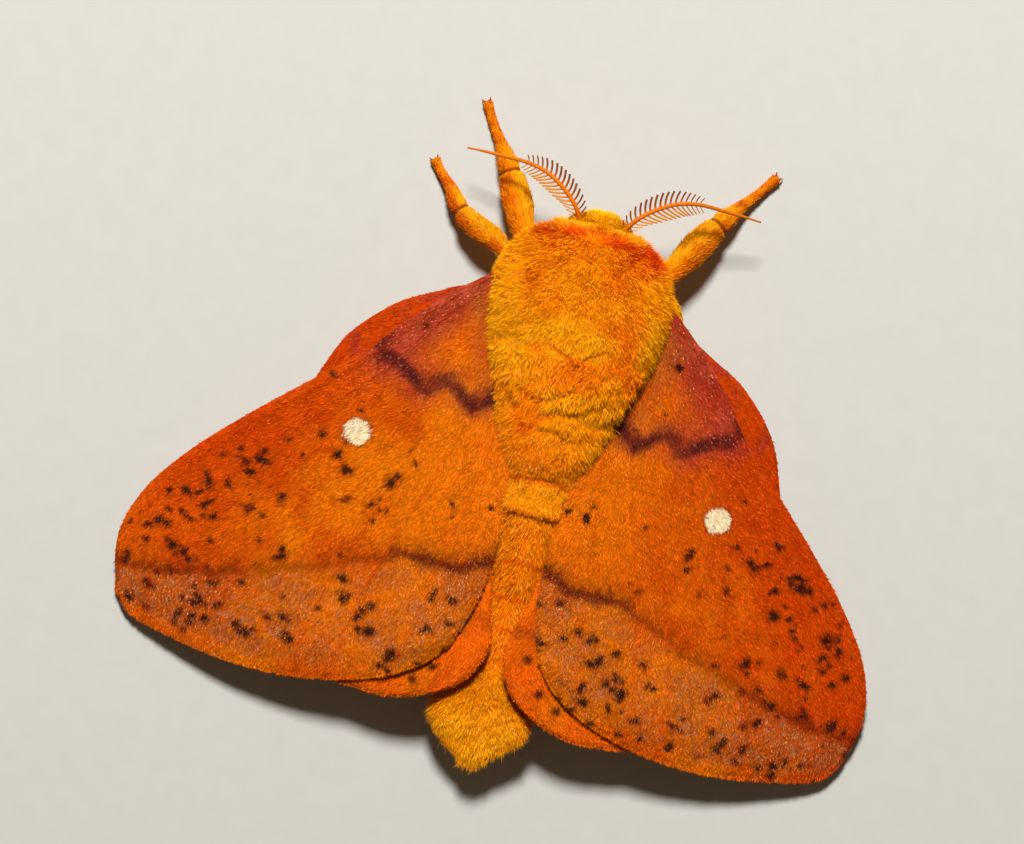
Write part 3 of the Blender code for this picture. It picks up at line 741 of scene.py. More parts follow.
def growBlades(name, roots, normals, lies, places, tint, lengths, keep, look, raised=0.0):
    seed = look["seed"]
    raised = np.full(len(roots), 0.0) + raised
    rows = (roots, normals, lies, places, tint, lengths, raised)
    roots, normals, lies, places, tint, lengths, raised = (row[keep] for row in rows)
    draw = np.random.default_rng(seed)
    count = len(roots)
    lies = unit(lies - normals * (lies * normals).sum(axis=1, keepdims=True))
    sides = np.cross(normals, lies)
    # Neighbours lean together, as hair does in loose locks
    x, y, z = roots.T
    sway = softNoise(x + z * 0.6, y, look["lock"], seed + 1) - 0.5
    sway2 = softNoise(x, y + z * 0.6, look["lock"] * 2.7, seed + 2) - 0.5
    turn = (sway * 1.6 + sway2) * look["sway"] + draw.normal(0, look["stray"], count)
    ahead = lies * np.cos(turn)[:, None] + sides * np.sin(turn)[:, None]
    across = np.cross(normals, ahead)
    lift = look["lift"] + raised
    lift = lift + draw.normal(0, look["liftSpread"], count) + (sway2 - sway) * lift * 0.5
    lift = np.clip(lift, *bladeLook["lifts"])
    length = look["length"] * draw.uniform(*bladeLook["lengths"], count) * lengths
    width = look["width"] * draw.uniform(*bladeLook["widths"], count)
    roll = draw.normal(0, look["roll"], count)
    edge = across * np.cos(roll)[:, None] + normals * np.sin(roll)[:, None]

    def spine(t):
        rise = np.sin(lift) * t - look["droop"] * t * t
        return roots + length[:, None] * (ahead * (np.cos(lift) * t)[:, None] + normals * rise[:, None])

    corners = []
    for t, wide in ((0.0, 1.0), (bladeLook["bendAt"], bladeLook["bendWidth"])):
        half = edge * (width * wide / 2)[:, None]
        corners += [spine(t) - half, spine(t) + half]
    points = np.stack([*corners, spine(1.0)], axis=1)
    points[..., 2] = np.maximum(points[..., 2], bladeLook["lowest"])
    k = np.arange(count)[:, None] * 5
    faces = np.concatenate([k + [0, 1, 3], k + [0, 3, 2], k + [2, 3, 4]], axis=1).reshape(-1, 3)
    own = np.clip(draw.normal(1.0, look["vary"], count), *bladeLook["tones"])
    warm = draw.normal(0, look["vary"] * 0.25, count)
    base = tint * own[:, None] * ways(1 + warm, 1 - warm, 1 - warm)
    # Painted shade and light along each hair: the root, and less so the middle, are darker and redder,
    # standing in for shade between the hairs, and the tip is a little lighter
    midShade = [0.75 + 0.25 * value for value in look["rootShade"]]
    shades = np.array([look["rootShade"], look["rootShade"], midShade, midShade, [look["tipShade"]] * 3])
    colours = base[:, None, :] * shades[None]
    # A few hairs shine pale towards their tips
    shine = (draw.random(count) < look["shine"]) * draw.uniform(*bladeLook["shineLevels"], count)
    for row, share in ((2, 0.4), (3, 0.4), (4, 1.0)):
        colours[:, row] = blendTo(colours[:, row], furPalette["shine"], shine * share)
    colours = np.clip(colours, 0, 1).reshape(-1, 3)
    offsets = np.array([(-1, -1), (1, -1), (-1, 0.2), (1, 0.2), (0, 1)]) * bladeLook["patchHalf"]
    patches = np.clip(places, 0.003, 0.997)[:, None, :] + offsets[None]
    obj = addMesh(name, points.reshape(-1, 3), [faces], look["finish"], colours, patches.reshape(-1, 2))
    settle(obj, look["slot"])


def trunkRoots(part, look):
    # Roots under a form's surface, more of them where it is wider
    trunk = trunks[part]
    low, high = look["span"]
    levels = np.linspace(low, high, 200)
    half, _, top, bottom = trunk.section(levels)
    share = np.cumsum(half + (top - bottom) / 2 + 0.3)
    share = (share - share[0]) / (share[-1] - share[0])
    spots = evenPlaces(look["count"], look["rootSeed"])
    y = np.interp(spots[:, 0], share, levels)
    angle = spots[:, 1] * fullTurn
    places = np.stack([spots[:, 1] % 1, (y - low) / (high - low)], axis=1)
    return trunk.point(y, angle, -bodySkin["depth"][part]), trunk.normal(y, angle), places


def addFront(part, front, roots, normals, lies, places, tint, lengths, keep):
    # The front end of a form has hair that fans out from its middle and falls
    draw = np.random.default_rng(front["seed"])
    count = front["count"]
    turn, reach = draw.uniform(0, fullTurn, count), np.sqrt(draw.random(count))
    rim = trunks[part].point(np.full(count, front["y"]), turn, -bodySkin["depth"][part])
    centre = np.array([trunks[part].centre, front["y"], front["z"]])
    away = unit(rim - centre)
    spots = centre + (rim - centre) * reach[:, None]
    spots[:, 1] -= 0.1 * (1 - reach)
    facing = unit(away * (reach * 0.6)[:, None] + [0.0, -1.0, 0.0])
    patches = np.stack([turn / fullTurn, reach * 0.05], axis=1)
    falls = away + [0.0, 0.0, -0.5]
    long = np.full(count, front["length"])
    more = (spots, facing, falls, patches, bodyColour(spots), long, np.full(count, True))
    rows = (roots, normals, lies, places, tint, lengths, keep)
    return [np.concatenate(pair) for pair in zip(rows, more)]


def insideBody(points, depth, *skip):
    inside = np.zeros(len(points), bool)
    for name, trunk in trunks.items():
        if name not in skip:
            inside |= trunk.holds(points, -depth)
    return inside


# Each coat has its own look. clear is how deep below another form's surface its roots may lie.
# Each coat's hair is painted darker and redder at the root, as painted shade, and lighter at the tip, as
# painted light
hairLook = dict(finish="bodyFur", slot="body_fur", roll=0.6, vary=0.15, shine=0.08, tipShade=1.1)

thoraxCoat = dict(
    hairLook, count=126000, rootSeed=21, seed=31, span=(-11.75, -2.0), length=0.42, width=0.033, lift=0.85,
    liftSpread=0.25, droop=0.12, lock=0.15, sway=0.6, stray=0.45, rootShade=(1.02, 0.46, 0.22), clear=0.45,
    front={"count": 5000, "seed": 92, "y": -11.72, "z": 5.9, "length": 0.9},
)


def growThoraxCoat():
    roots, normals, places = trunkRoots("thorax", thoraxCoat)
    x, y, z = roots.T
    # Back along the body and a little outwards. At the front it parts, and a fringe falls over the neck.
    parting = ease(-11.15, -11.45, y + 0.1 * np.abs(x)) * ease(3.6, 5.0, z)
    parting = parting * (0.5 + 0.5 * softNoise(x, y, 0.25, 91))
    back, forward = ways(x * 0.25 / 4.5, 1.0, 0.0), ways(x * 0.3, -1.0, -0.35)
    lies = back * (1 - parting[:, None]) + forward * parting[:, None]
    # Longer at the rear, where the hair runs out over the wings in a V, and at the sides
    lengths = 1 + 0.5 * ease(-4.6, -2.6, y) * ease(5.0, 6.6, z) + 0.35 * ease(6.6, 5.0, z)
    lengths = lengths * (1 + parting * (0.5 * ease(0.6, 1.3, np.abs(x - headX)) - 0.2))
    lengths = lengths * (1 - 0.5 * furrowShare(x, y + 0.1, 0.3) * ease(4.6, 5.4, z))
    keep = ~insideBody(roots, thoraxCoat["clear"], "thorax", "abdomen")
    tint = bodyColour(roots + lies * 0.2)
    *hair, keep = addFront("thorax", thoraxCoat["front"], roots, normals, lies, places, tint, lengths, keep)
    for side, pose in sidePoses.items():
        mine = keep & (hair[0][:, 0] * pose["sign"] >= 0)
        growBlades(f"thoraxCoat_{side}", *hair, mine, thoraxCoat)


mantleCoat = dict(
    thoraxCoat, count=24000, rootSeed=77, seed=32, length=0.66, lift=0.5, liftSpread=0.22, lock=0.28,
    sway=0.8, start=-5.6, span=8.3, sink=0.14,
    outline=([-5.6, -2.9, -0.9, 0.7, 1.3, 2.7], [3.9, 3.1, 2.25, 1.5, 1.42, 1.38]),  # levels and half widths
)


def growMantle():
    # Longer hair from the rear of the thorax that covers the wing roots and the front of the abdomen
    draw = np.random.default_rng(mantleCoat["rootSeed"])
    count = mantleCoat["count"]
    y = mantleCoat["start"] + mantleCoat["span"] * draw.random(count) ** 0.85
    x = draw.uniform(-1, 1, count) * np.interp(y, *mantleCoat["outline"])
    blend = ease(-3.2, -2.2, y)
    ends = zip(trunks["thorax"].section(y), trunks["abdomen"].section(y))
    half, middle, top, _ = (a * (1 - blend) + b * blend for a, b in ends)
    rise = np.sqrt(np.clip(1 - (x / np.maximum(half, 0.1)) ** 2, 0.0, 1))
    z = np.maximum(middle + (top - middle) * rise, wingLift(np.abs(x), y) - 0.06) - mantleCoat["sink"]
    roots, normals, lies = ways(x, y, z), unit(ways(x * 0.35, 0.15, 1.6)), ways(x * -0.08, 1.0, 0.0)
    places = np.stack([x / 10 + 0.5, (y + 6) / 10], axis=1)
    lengths = (0.5 + 0.5 * ease(-5.4, -3.4, y)) * (1 - 0.55 * furrowShare(x, y + 0.15, 0.34))
    lengths = lengths * (1 - 0.42 * ease(-0.4, 0.9, y))
    tint = bodyColour(roots + lies * 0.25)
    growBlades("mantleCoat", roots, normals, lies, places, tint, lengths, slice(None), mantleCoat)


abdomenCoat = dict(
    hairLook, count=35000, rootSeed=22, seed=33, span=(-2.3, 11.6), length=0.42, width=0.038, lift=0.65,
    liftSpread=0.18, droop=0.18, lock=0.24, sway=0.45, stray=0.25, roll=0.5, rootShade=(1.02, 0.48, 0.24),
    tipShade=1.08, clear=0.35,
)


def growAbdomenCoat():
    roots, normals, places = trunkRoots("abdomen", abdomenCoat)
    x, _, z = roots.T
    lies = ways(np.sign(x) * 0.12, 1.0, 0.0)
    # Fuller at the sides, where it meets the wings
    flank = ease(0.6, 1.2, np.abs(x)) * ease(2.6, 3.6, z)
    tint = bodyColour(roots + lies * 0.3)
    keep = ~insideBody(roots, abdomenCoat["clear"], "abdomen")
    lengths = 1 + 0.8 * flank
    growBlades("abdomenCoat", roots, normals, lies, places, tint, lengths, keep, abdomenCoat, 0.4 * flank)


tailCoat = dict(
    hairLook, count=36000, rootSeed=23, seed=34, span=(11.2, 16.2), length=0.75, width=0.043, lift=0.46,
    liftSpread=0.2, droop=0.06, lock=0.26, sway=0.5, stray=0.3, rootShade=(1.02, 0.5, 0.24),
)


def growTailCoat():
    roots, normals, places = trunkRoots("tail", tailCoat)
    x, y, z = roots.T
    spread = x * 0.2 * ease(14.2, 12.0, y) - x * 0.16 * ease(13.8, 15.5, y)
    lies = ways(spread, 1.0, 0.0)
    # Longest at the corners and at the point, with a few hairs that reach out further
    draw = np.random.default_rng(88)
    lengths = 0.85 + 0.35 * ease(1.6, 2.4, np.abs(x))
    lengths = lengths + 0.4 * ease(14.8, 15.8, y) * ease(1.0, 0.2, np.abs(x + 0.1))
    lengths = lengths + 0.5 * (draw.random(len(x)) < 0.012) * ease(14.0, 15.0, y)
    # It stands up under the hindwings
    upright = ease(13.8, 12.2, y) * ease(2.9, 3.4, z)
    lengths = lengths * (1 + 0.25 * upright)
    tint = bodyColour(roots + lies * 0.4)
    growBlades("tailCoat", roots, normals, lies, places, tint, lengths, slice(None), tailCoat, 0.4 * upright)


eyeLook = {"radius": 0.6, "centre": (1.12, -11.6, 3.75), "width": 0.97, "gap": 0.66}

headCoat = dict(
    hairLook, count=30000, rootSeed=24, seed=35, span=(-12.4, -10.6), length=0.5, width=0.034, lift=0.75,
    liftSpread=0.28, droop=0.1, lock=0.3, sway=1.0, stray=0.4, vary=0.14, rootShade=(1.02, 0.55, 0.3),
    clear=0.5,
    front={"count": 2500, "seed": 93, "y": -12.36, "z": 4.2, "length": 0.6},
)


def growHeadCoat():
    roots, normals, places = trunkRoots("head", headCoat)
    x, y, z = (roots - [headX, 0.0, 0.0]).T
    # A forelock stands up between the antennae, the face hangs down
    brow = ease(0.7, 1.1, np.abs(x)) * ease(4.0, 4.5, z)
    lies = ways(x * (brow - 0.25), -0.6, (z - 4.6) * 0.8 * (1 - brow))
    tuft = ease(4.8, 5.3, z) * ease(1.1, 0.5, np.abs(x))
    lengths = 0.75 + tuft * (1.5 * softNoise(x, y, 0.22, 90) - 0.1) + brow
    # The eyes stay clear
    eyeX, eyeY, eyeZ = eyeLook["centre"]
    eyes = [np.linalg.norm(roots - [headX + sign * eyeX, eyeY, eyeZ], axis=1) for sign in (1, -1)]
    keep = np.min(eyes, axis=0) > eyeLook["gap"] - 0.4 * brow
    keep = keep & ~insideBody(roots, headCoat["clear"], "head")
    hair = addFront("head", headCoat["front"], roots, normals, lies, places, bodyColour(roots), lengths, keep)
    growBlades("headCoat", *hair, headCoat)


legCoat = dict(
    hairLook, finish="legFur", slot="leg_fur", count={"foreleg": 10500, "midleg": 10500, "hindleg": 7000},
    seed=40, rootSeed=60, length=0.32, width=0.034, lift=0.4, liftSpread=0.18, droop=0.15, lock=0.25,
    sway=0.4, stray=0.22, shine=0.06, rootShade=(1.0, 0.56, 0.32), tipShade=1.08, clear=0.3,
)


def growLegCoats():
    for n, ((kind, side), limb) in enumerate(legs.items()):
        spots = evenPlaces(legCoat["count"][kind], legCoat["rootSeed"] + n)
        radius = np.cumsum(limb.table[:, 3])
        radius = (radius - radius[0]) / (radius[-1] - radius[0])
        share = np.interp(spots[:, 0], radius, np.linspace(0, 1, len(radius)))
        angle = spots[:, 1] * fullTurn
        roots = limb.point(share, angle, -bodySkin["legDepth"])
        lies = limb.pick(limb.ahead, share)
        # The last roots close the end of the foot
        centres = limb.pick(limb.table, share)[:, :3]
        roots = centres + (roots - centres) * (1 - 0.9 * ease(0.98, 1.0, share))[:, None]
        atEnd = ease(0.95, 1.0, share)[:, None]
        normals = unit(limb.outward(share, angle) * (1 - 0.75 * atEnd) + lies * atEnd)
        lies = lies + limb.outward(share, angle) * atEnd
        # Shorter towards the foot, and just above the knee, so that its dark ring shows
        lengths = (1.15 - 0.65 * ease(0.5, 0.8, share)) * (1 - 0.75 * ease(0.05, 0.015, np.abs(share - 0.49)))
        tint = legColour(limb, kind, share, angle, sidePoses[side]["sign"])
        places = np.stack([angle / fullTurn, share], axis=1)
        keep = ~insideBody(roots, legCoat["clear"]) & (roots[:, 2] > 0.03)
        look = dict(legCoat, seed=legCoat["seed"] + n)
        growBlades(f"{kind}Coat_{side}", roots, normals, lies, places, tint, lengths, keep, look)


# Wings

def wingLift(x, y):
    # Height of the wings' upper face: a roof that falls to the sides and, gently, to the rear
    out = np.abs(x)
    rear = 0.5 * (y + np.sqrt(y * y + 4))
    height = wingLook["ridge"] - wingLook["fall"] * out - wingLook["curl"] * out * out
    return height - wingLook["rearFall"] * rear * (1 - out / 22)


wingLook = {
    "ridge": 6.45, "fall": 0.235, "curl": 0.002, "rearFall": 0.06, "rearBend": 0.3, "hindDrop": 0.62,
    "thickness": 0.2, "below": 0.07, "chord": 12.5, "veinHeight": 0.05, "veinHalf": 0.13, "ripple": 0.025,
    "specks": 168, "pale": 0.45, "mapSize": (21.5, 26.0), "mapEdge": 0.004,
    "grid": {"forewing": (170, 110), "hindwing": (100, 80)},
}

wingPalette = makePalette(
    amber=(213, 102, 0), light=(220, 118, 2), red=(192, 55, 0), rose=(146, 43, 40), blush=(196, 84, 64),
    pink=(160, 78, 32), frost=(192, 128, 86), glint=(244, 188, 118), brown=(126, 46, 4),
    maroon=(92, 20, 6), purple=(76, 22, 26), speck=(24, 12, 15), cream=(244, 232, 196),
    hindwing=(226, 98, 6),
)

# The lines across the forewing, and the darkest specks, as x and y on the left wing
innerLine = [
    (2.4, -3.0), (3.1, -2.6), (3.8, -1.95), (4.4, -1.9), (5.3, -2.6), (5.9, -2.6),
    (6.6, -2.0), (7.3, -2.5), (8.0, -2.95), (8.8, -3.1), (9.3, -3.6), (9.0, -4.2),
]
outerLine = [
    (1.4, 5.6), (3.0, 6.3), (4.4, 6.3), (5.8, 6.35), (6.8, 6.8), (8.1, 7.3),
    (9.3, 8.0), (11.1, 8.7), (13.2, 9.5), (15.9, 10.2), (17.7, 10.6), (20.3, 10.75),
]
pupil = (9.35, 1.1)
specks = {
    "forewing_left": [
        (14.6, 4.1), (13.6, 3.7), (16.1, 5.6), (17.0, 6.4), (15.1, 5.5), (16.0, 6.7), (13.8, 6.3),
        (18.1, 8.2), (18.6, 9.4), (17.2, 9.1), (16.5, 9.5), (19.4, 10.7), (12.3, 5.4), (10.1, 2.4),
        (9.4, 3.0), (11.0, 1.6), (7.2, 3.1), (9.0, 4.4), (11.7, 8.3), (18.0, 11.5), (14.8, 10.6),
        (15.3, 11.6), (12.6, 12.5), (10.8, 11.2), (10.4, 12.4), (6.4, 10.8), (5.2, 11.5), (3.7, 9.9),
    ],
    "forewing_right": [
        (12.1, 3.0), (10.7, 2.2), (12.8, 1.6), (14.2, 3.1), (14.6, 3.6), (13.4, 3.9), (10.8, 4.5),
        (8.4, 3.2), (13.7, 5.3), (14.9, 5.9), (16.8, 5.9), (17.6, 6.3), (16.8, 6.9), (18.4, 7.6),
        (15.1, 8.2), (12.9, 8.1), (16.4, 8.5), (15.0, 9.8), (16.9, 10.0), (18.3, 10.3), (11.8, 10.0),
        (10.3, 12.2), (8.2, 12.2), (4.7, 8.6), (5.1, 9.8), (5.0, 11.2), (7.0, 10.9), (5.0, -6.1),
    ],
    "hindwing_left": [(3.0, 11.8), (3.8, 12.7)],
    "hindwing_right": [(1.7, 10.2), (2.7, 11.8), (3.8, 12.5)],
}


def beyondLine(x, y):
    # How far a place lies beyond the outer line, towards the margin
    lineX, lineY = zip(*outerLine)
    return y - np.interp(x, lineX, lineY)


def speckTable(side):
    # The listed specks are the largest. The rest fall at random, thickest near the tip and beyond
    # the outer line.
    draw = np.random.default_rng(8 if side == "left" else 9)
    spots = []
    for x, y in specks[f"forewing_{side}"]:
        size = draw.uniform(0.2, 0.33)
        spots.append((x, y, size))
        for _ in range(draw.integers(0, 3)):
            turn = draw.uniform(0, fullTurn)
            away = size * draw.uniform(0.9, 1.6)
            nextX, nextY = x + away * math.cos(turn), y + away * math.sin(turn)
            spots.append((nextX, nextY, size * draw.uniform(0.45, 0.8)))
    while len(spots) < wingLook["specks"]:
        x, y = draw.uniform(1.6, 19.6), draw.uniform(-6, 13.6)
        beyond = ease(0.2, 1.5, float(beyondLine(x, y)))
        chance = 0.05 + 0.5 * ease(11, 16, x) * ease(0, 5, y) + 0.25 * beyond
        chance += 0.14 * ease(3.0, 0.5, abs(y - 3.4))
        if draw.random() < chance:
            spots.append((x, y, draw.uniform(0.08, 0.2) + 0.08 * float(beyond)))
    return spots


def paintSpecks(colour, x, y, spots, fine):
    # Specks with a dark heart and a brown fringe
    dark, brown = np.zeros(len(x)), np.zeros(len(x))
    for sx, sy, size in spots:
        gap = np.hypot(x - sx, (y - sy) * 1.15) / size + (fine - 0.5) * 0.35
        dark = np.maximum(dark, ease(1.2, 0.5, gap))
        brown = np.maximum(brown, ease(2.0, 0.8, gap))
    return layered(colour, wingPalette, ("brown", brown * 0.55), ("speck", dark * (0.84 + 0.14 * fine)))


def forewingColour(x, y, u, v, side):
    fine = softNoise(x, y, 0.2, 15)
    middle = softNoise(x, y, 0.8, 14)
    broad = softNoise(x, y, 2.4, 13)
    warpX = x + (softNoise(x, y, 0.45, 11) - 0.5) * 0.35
    warpY = y + (softNoise(x, y, 0.45, 12) - 0.5) * 0.35
    onRight = side == "right"
    # Amber, lighter in the inner half, redder along the front edge and rosy at the root
    frontEdge = ease(0.42, 0.08, v + (middle - 0.5) * 0.15) * ease(0.1, 0.4, u)
    base = ease(0.44 if onRight else 0.36, 0.1, v) * ease(0.4, 0.18, u)
    # The right wing is redder, as far as the outer line
    redder = (0.12 + 0.4 * ease(0.3, 0.7, broad)) * ease(0.4, -0.6, beyondLine(x, y)) * ease(3.0, 7.0, x)
    bodySide = np.interp(y, [-8.0, -2.6], [4.9, 3.4])
    byBody = ease(1.3, 0.2, x - bodySide) * ease(-8.5, -7.0, y) * ease(-1.0, -2.4, y)
    # Beyond the outer line: a rosy haze with orange showing through it, and a plain orange margin
    beyond = beyondLine(warpX, warpY)
    inset = np.minimum((1 - u) * 22, 9)
    out = ease(0.05, 0.7, beyond) * ease(0.35, 0.9, inset + (middle - 0.5) * 0.5)
    where = 0.38 + 0.08 * ease(6.0, 3.2, x) + 0.6 * ease(11.5, 15.5, x)
    where = np.clip(where + 0.35 * ease(2.4, 0.6, np.abs(x - 11.3)) + (middle - 0.5) * 1.1, 0, 1)
    # The two lines are ragged towards the body and soft towards the margin
    strokes = softNoise(x * 2.4, y * 0.7, 0.3, 16)
    gap = lineGap(warpX, warpY, outerLine, 160)
    innerGap = lineGap(warpX, warpY, innerLine, 160)
    before, after = np.where(beyond < 0, gap, 9), np.where(beyond >= 0, gap, 9)
    ends = np.clip(0.54 + 0.44 * ease(7.5, 4.5, x) + 0.3 * ease(12, 15, x), 0, 1)
    haze = ease(1.5, 0.1, before) * (0.25 + 0.35 * strokes)
    stroke = np.maximum(ease(0.15 + 0.95 * strokes, 0.02, before) * 0.9, ease(0.55, 0.05, after) * 0.85)
    colour = layered(
        np.tile(wingPalette["amber"], (len(x), 1)), wingPalette,
        ("light", (0.2 + 0.8 * ease(0.35, 0.75, broad)) * ease(0.15, 0.5, v) * 0.85),
        ("red", frontEdge * (0.72 - 0.45 * ease(0.7, 0.95, u) * (not onRight))),
        ("red", ease(0.45, 0.2, broad) * 0.4),
        ("red", ease(0.35, 0.1, middle) * 0.22),
        ("rose", base * (0.92 if onRight else 0.8)),
        ("blush", base * ease(0.35, 0.75, middle) * ease(0.25, 0.1, v) * 0.55),
        ("red", redder * onRight),
        ("pink", byBody * (0.35 + 0.4 * middle)),
        ("pink", out * where * (0.45 + 0.55 * ease(0.3, 0.7, fine))),
        ("frost", out * where * ease(0.6, 0.9, fine) * 0.5),
        ("maroon", np.maximum(stroke, haze) * ends),
        ("purple", ease(0.8, 0.1, after) * ends * 0.5 * ease(9.0, 5.0, x)),
        ("rose", ease(1.5, 0.3, innerGap) * (0.25 + 0.3 * ease(4.0, 7.0, x))),
        ("purple", ease(1.0, 0.2, innerGap) * ease(6.0, 3.5, x) * (0.35 + 0.35 * strokes)),
        ("purple", ease(0.46 + 0.2 * strokes, 0.1, innerGap) * (0.6 + 0.35 * middle)),
    )
    colour = paintSpecks(colour, warpX, warpY, speckTable(side), fine)
    # The white spot with its thin dark rim, and the veins
    gap = np.hypot(x - pupil[0], (y - pupil[1]) * 0.95) + (middle - 0.5) * 0.22 + (fine - 0.5) * 0.14
    rim = ("maroon", ease(0.9, 0.68, gap) * 0.5)
    colour = layered(colour, wingPalette, rim, ("cream", ease(0.7, 0.6, gap)))
    for place, start in wingEdges["forewing"]["veins"]:
        onVein = ease(0.014, 0.0, np.abs(v - place)) * ease(start, start + 0.1, u)
        colour = layered(colour, wingPalette, ("red", onVein * 0.22))
    return colour * (0.88 + 0.16 * fine + 0.08 * middle)[:, None]


def hindwingColour(x, y, u, v, side):
    broad = softNoise(x, y, 1.8, 23)
    middle = softNoise(x, y, 0.7, 24)
    fine = softNoise(x, y * 0.35, 0.2, 25)
    colour = layered(
        np.tile(wingPalette["hindwing"], (len(x), 1)), wingPalette,
        ("light", ease(0.45, 0.9, broad) * 0.5),
        ("red", ease(0.45, 0.1, v) * 0.85),
        ("rose", ease(0.3, 0.0, v) * ease(0.5, 0.85, middle) * 0.5),
        ("brown", ease(0.5, 0.85, fine) * ease(0.3, 0.05, v) * 0.45),
        ("maroon", ease(0.035, 0.0, np.abs(u - 0.74 + (middle - 0.5) * 0.03)) * 0.4),
    )
    colour = paintSpecks(colour, x, y, [(*spot, 0.24) for spot in specks[f"hindwing_{side}"]], fine)
    return colour * (0.88 + 0.2 * fine)[:, None]


class Wing:
    def __init__(self, kind, side):
        self.kind, self.side = kind, side
        self.edges = wingEdges[kind]
        self.sign = sidePoses[side]["sign"]

    def flat(self, u, v):
        # Place on the left wing's own drawing: u runs from the root to the margin, v from the front
        # edge to the rear
        costa, inner = edgeAt(self.edges["costa"], u), edgeAt(self.edges["inner"], u)
        root, outer = edgeAt(self.edges["root"], v), edgeAt(self.edges["outer"], v)
        u, v = u[..., None], v[..., None]
        c0, c1, i0, i1 = (np.array(self.edges[edge][end]) for edge in ("costa", "inner") for end in (0, -1))
        corners = (1 - u) * (1 - v) * c0 + u * (1 - v) * c1 + (1 - u) * v * i0 + u * v * i1
        return (1 - v) * costa + v * inner + (1 - u) * root + u * outer - corners

    def relief(self, u, v):
        height = np.zeros_like(u)
        for place, start in self.edges["veins"]:
            grown = ease(start - 0.04, start + 0.06, u)
            away = (v - place) * wingLook["chord"] / wingLook["veinHalf"]
            height = np.maximum(height, wingLook["veinHeight"] * grown * (1 - 0.5 * u) * np.exp(-away * away))
        return height + np.cos(v * 8 * fullTurn) * wingLook["ripple"] * ease(0.2, 0.6, u)

    def place(self, u, v, sunk=0.0):
        # Place on the moth, sunk below the upper face
        flat = self.flat(u, v)
        x, y = posed(flat[..., 0], flat[..., 1], self.kind, self.side)
        if self.kind == "forewing":
            # The rear margins bend down onto the hindwing
            drop = wingLook["rearBend"] * ease(0.08, 0.0, np.minimum(1 - v, 1 - u)) * ease(0.3, 0.6, u)
        else:
            drop = wingLook["hindDrop"] + 0.2 * np.maximum(0.0, 1 - v / 0.2) + 0.15 * ease(0.6, 1.0, v)
            drop = drop + 0.15 * ease(0.8, 1.0, u) * ease(0.6, 1.0, v)
        thin = ease(0.0, 0.02, np.minimum(np.minimum(v, 1 - v), 1 - u))
        z = wingLift(x, y) - drop - wingLook["below"] - 0.08 * (1 - thin) + self.relief(u, v) * thin
        z = z - sunk * (0.35 + 0.65 * thin)
        return ways(x * self.sign, y, z)

    def colour(self, u, v):
        x, y = self.flat(u, v).T
        paintWing = forewingColour if self.kind == "forewing" else hindwingColour
        return paintWing(x, y, u, v, self.side)

    def glint(self, u, v):
        # Where single scales shine pale: beyond the outer line, and by the root along the front edge
        if self.kind == "hindwing":
            return np.full(len(u), 0.25)
        x, y = self.flat(u, v).T
        ends = 0.4 + 0.6 * ease(6.0, 3.0, x) + 0.5 * ease(12, 16, x)
        spots = 0.22 + 0.85 * ease(0.0, 0.6, beyondLine(x, y)) * ends
        spots = spots + 0.6 * ease(0.5, 0.15, u) * ease(0.5, 0.1, v)
        return np.clip(spots + 0.35 * ease(4.0, 2.0, x) * ease(-3.5, -1.0, y), 0, 1)

    def unwrap(self, u, v):
        # The wing laid flat, for its map
        x, y = self.flat(u, v).T
        width, height = wingLook["mapSize"]
        return np.stack([x / width + 0.02, (y + 10.5) / height], axis=-1)

    def grow(self, part, here, normal, lies, u, v, tint, lengths, look, seed):
        edge = wingLook["mapEdge"]
        places = np.clip(self.unwrap(u, v), edge, 1 - edge)
        name = f"{self.kind}{part}_{self.side}"
        keep = ~insideBody(here, look["clear"])
        growBlades(name, here, normal, lies, places, tint, lengths, keep, dict(look, seed=seed))

    def frame(self, u, v, sunk):
        # Places, normals, and the ways to the margin and to the rear
        step = 0.004
        here = self.place(u, v, sunk)
        along = self.place(np.clip(u + step, 0, 1), v, sunk) - self.place(np.clip(u - step, 0, 1), v, sunk)
        across = self.place(u, np.clip(v + step, 0, 1), sunk) - self.place(u, np.clip(v - step, 0, 1), sunk)
        normal = unit(np.cross(along, across))
        return here, normal * np.sign(normal[:, 2:3]), unit(along), unit(across)


def buildWingSkin(wing):
    rows, columns = wingLook["grid"][wing.kind]
    u, v = np.meshgrid(np.linspace(0, 1, rows), np.linspace(0, 1, columns), indexing="ij")
    u, v = u.reshape(-1), v.reshape(-1)
    points = np.concatenate([wing.place(u, v), wing.place(u, v, wingLook["thickness"])])
    tint = wing.colour(u, v) * 0.9
    pale = blendTo(tint, wingPalette["light"], np.full(len(u), wingLook["pale"]))
    count = rows * columns
    grid = np.arange(count).reshape(rows, columns)
    top = np.stack([grid[:-1, :-1], grid[:-1, 1:], grid[1:, 1:], grid[1:, :-1]], axis=-1).reshape(-1, 4)
    border = np.concatenate([grid[0, :], grid[1:, -1], grid[-1, -2::-1], grid[-2:0:-1, 0]])
    nextOne = np.roll(border, -1)
    rim = np.stack([border, border + count, nextOne + count, nextOne], axis=1)
    faces = np.concatenate([top, top[:, ::-1] + count, rim])
    if wing.sign > 0:
        faces = faces[:, ::-1]
    places = wing.unwrap(u, v) * [0.49, 1.0]
    patches = np.concatenate([places, places + [0.5, 0.0]])
    tints = np.concatenate([tint, pale])
    obj = addMesh(f"{wing.kind}Skin_{wing.side}", points, [faces], "wingSkin", tints, patches)
    faceOutwards(obj.data)
    settle(obj, "wing_scales", f"{wing.kind}_{wing.side}")


wingCoat = {
    "finish": "wingScales", "slot": "wing_scales",
    "Upper": {"forewing": 60000, "hindwing": 20400}, "Lower": {"forewing": 6000, "hindwing": 4200},
    "feather": (0.0013, 0.0023), "glintShare": 0.2, "length": 0.24, "width": 0.046, "lift": 0.3,
    "liftSpread": 0.18, "droop": 0.05, "lock": 0.25, "sway": 0.4, "stray": 0.35, "roll": 0.45, "vary": 0.21,
    "shine": 0.0, "rootShade": (0.95, 0.66, 0.5), "tipShade": 1.06, "clear": 0.35,
}


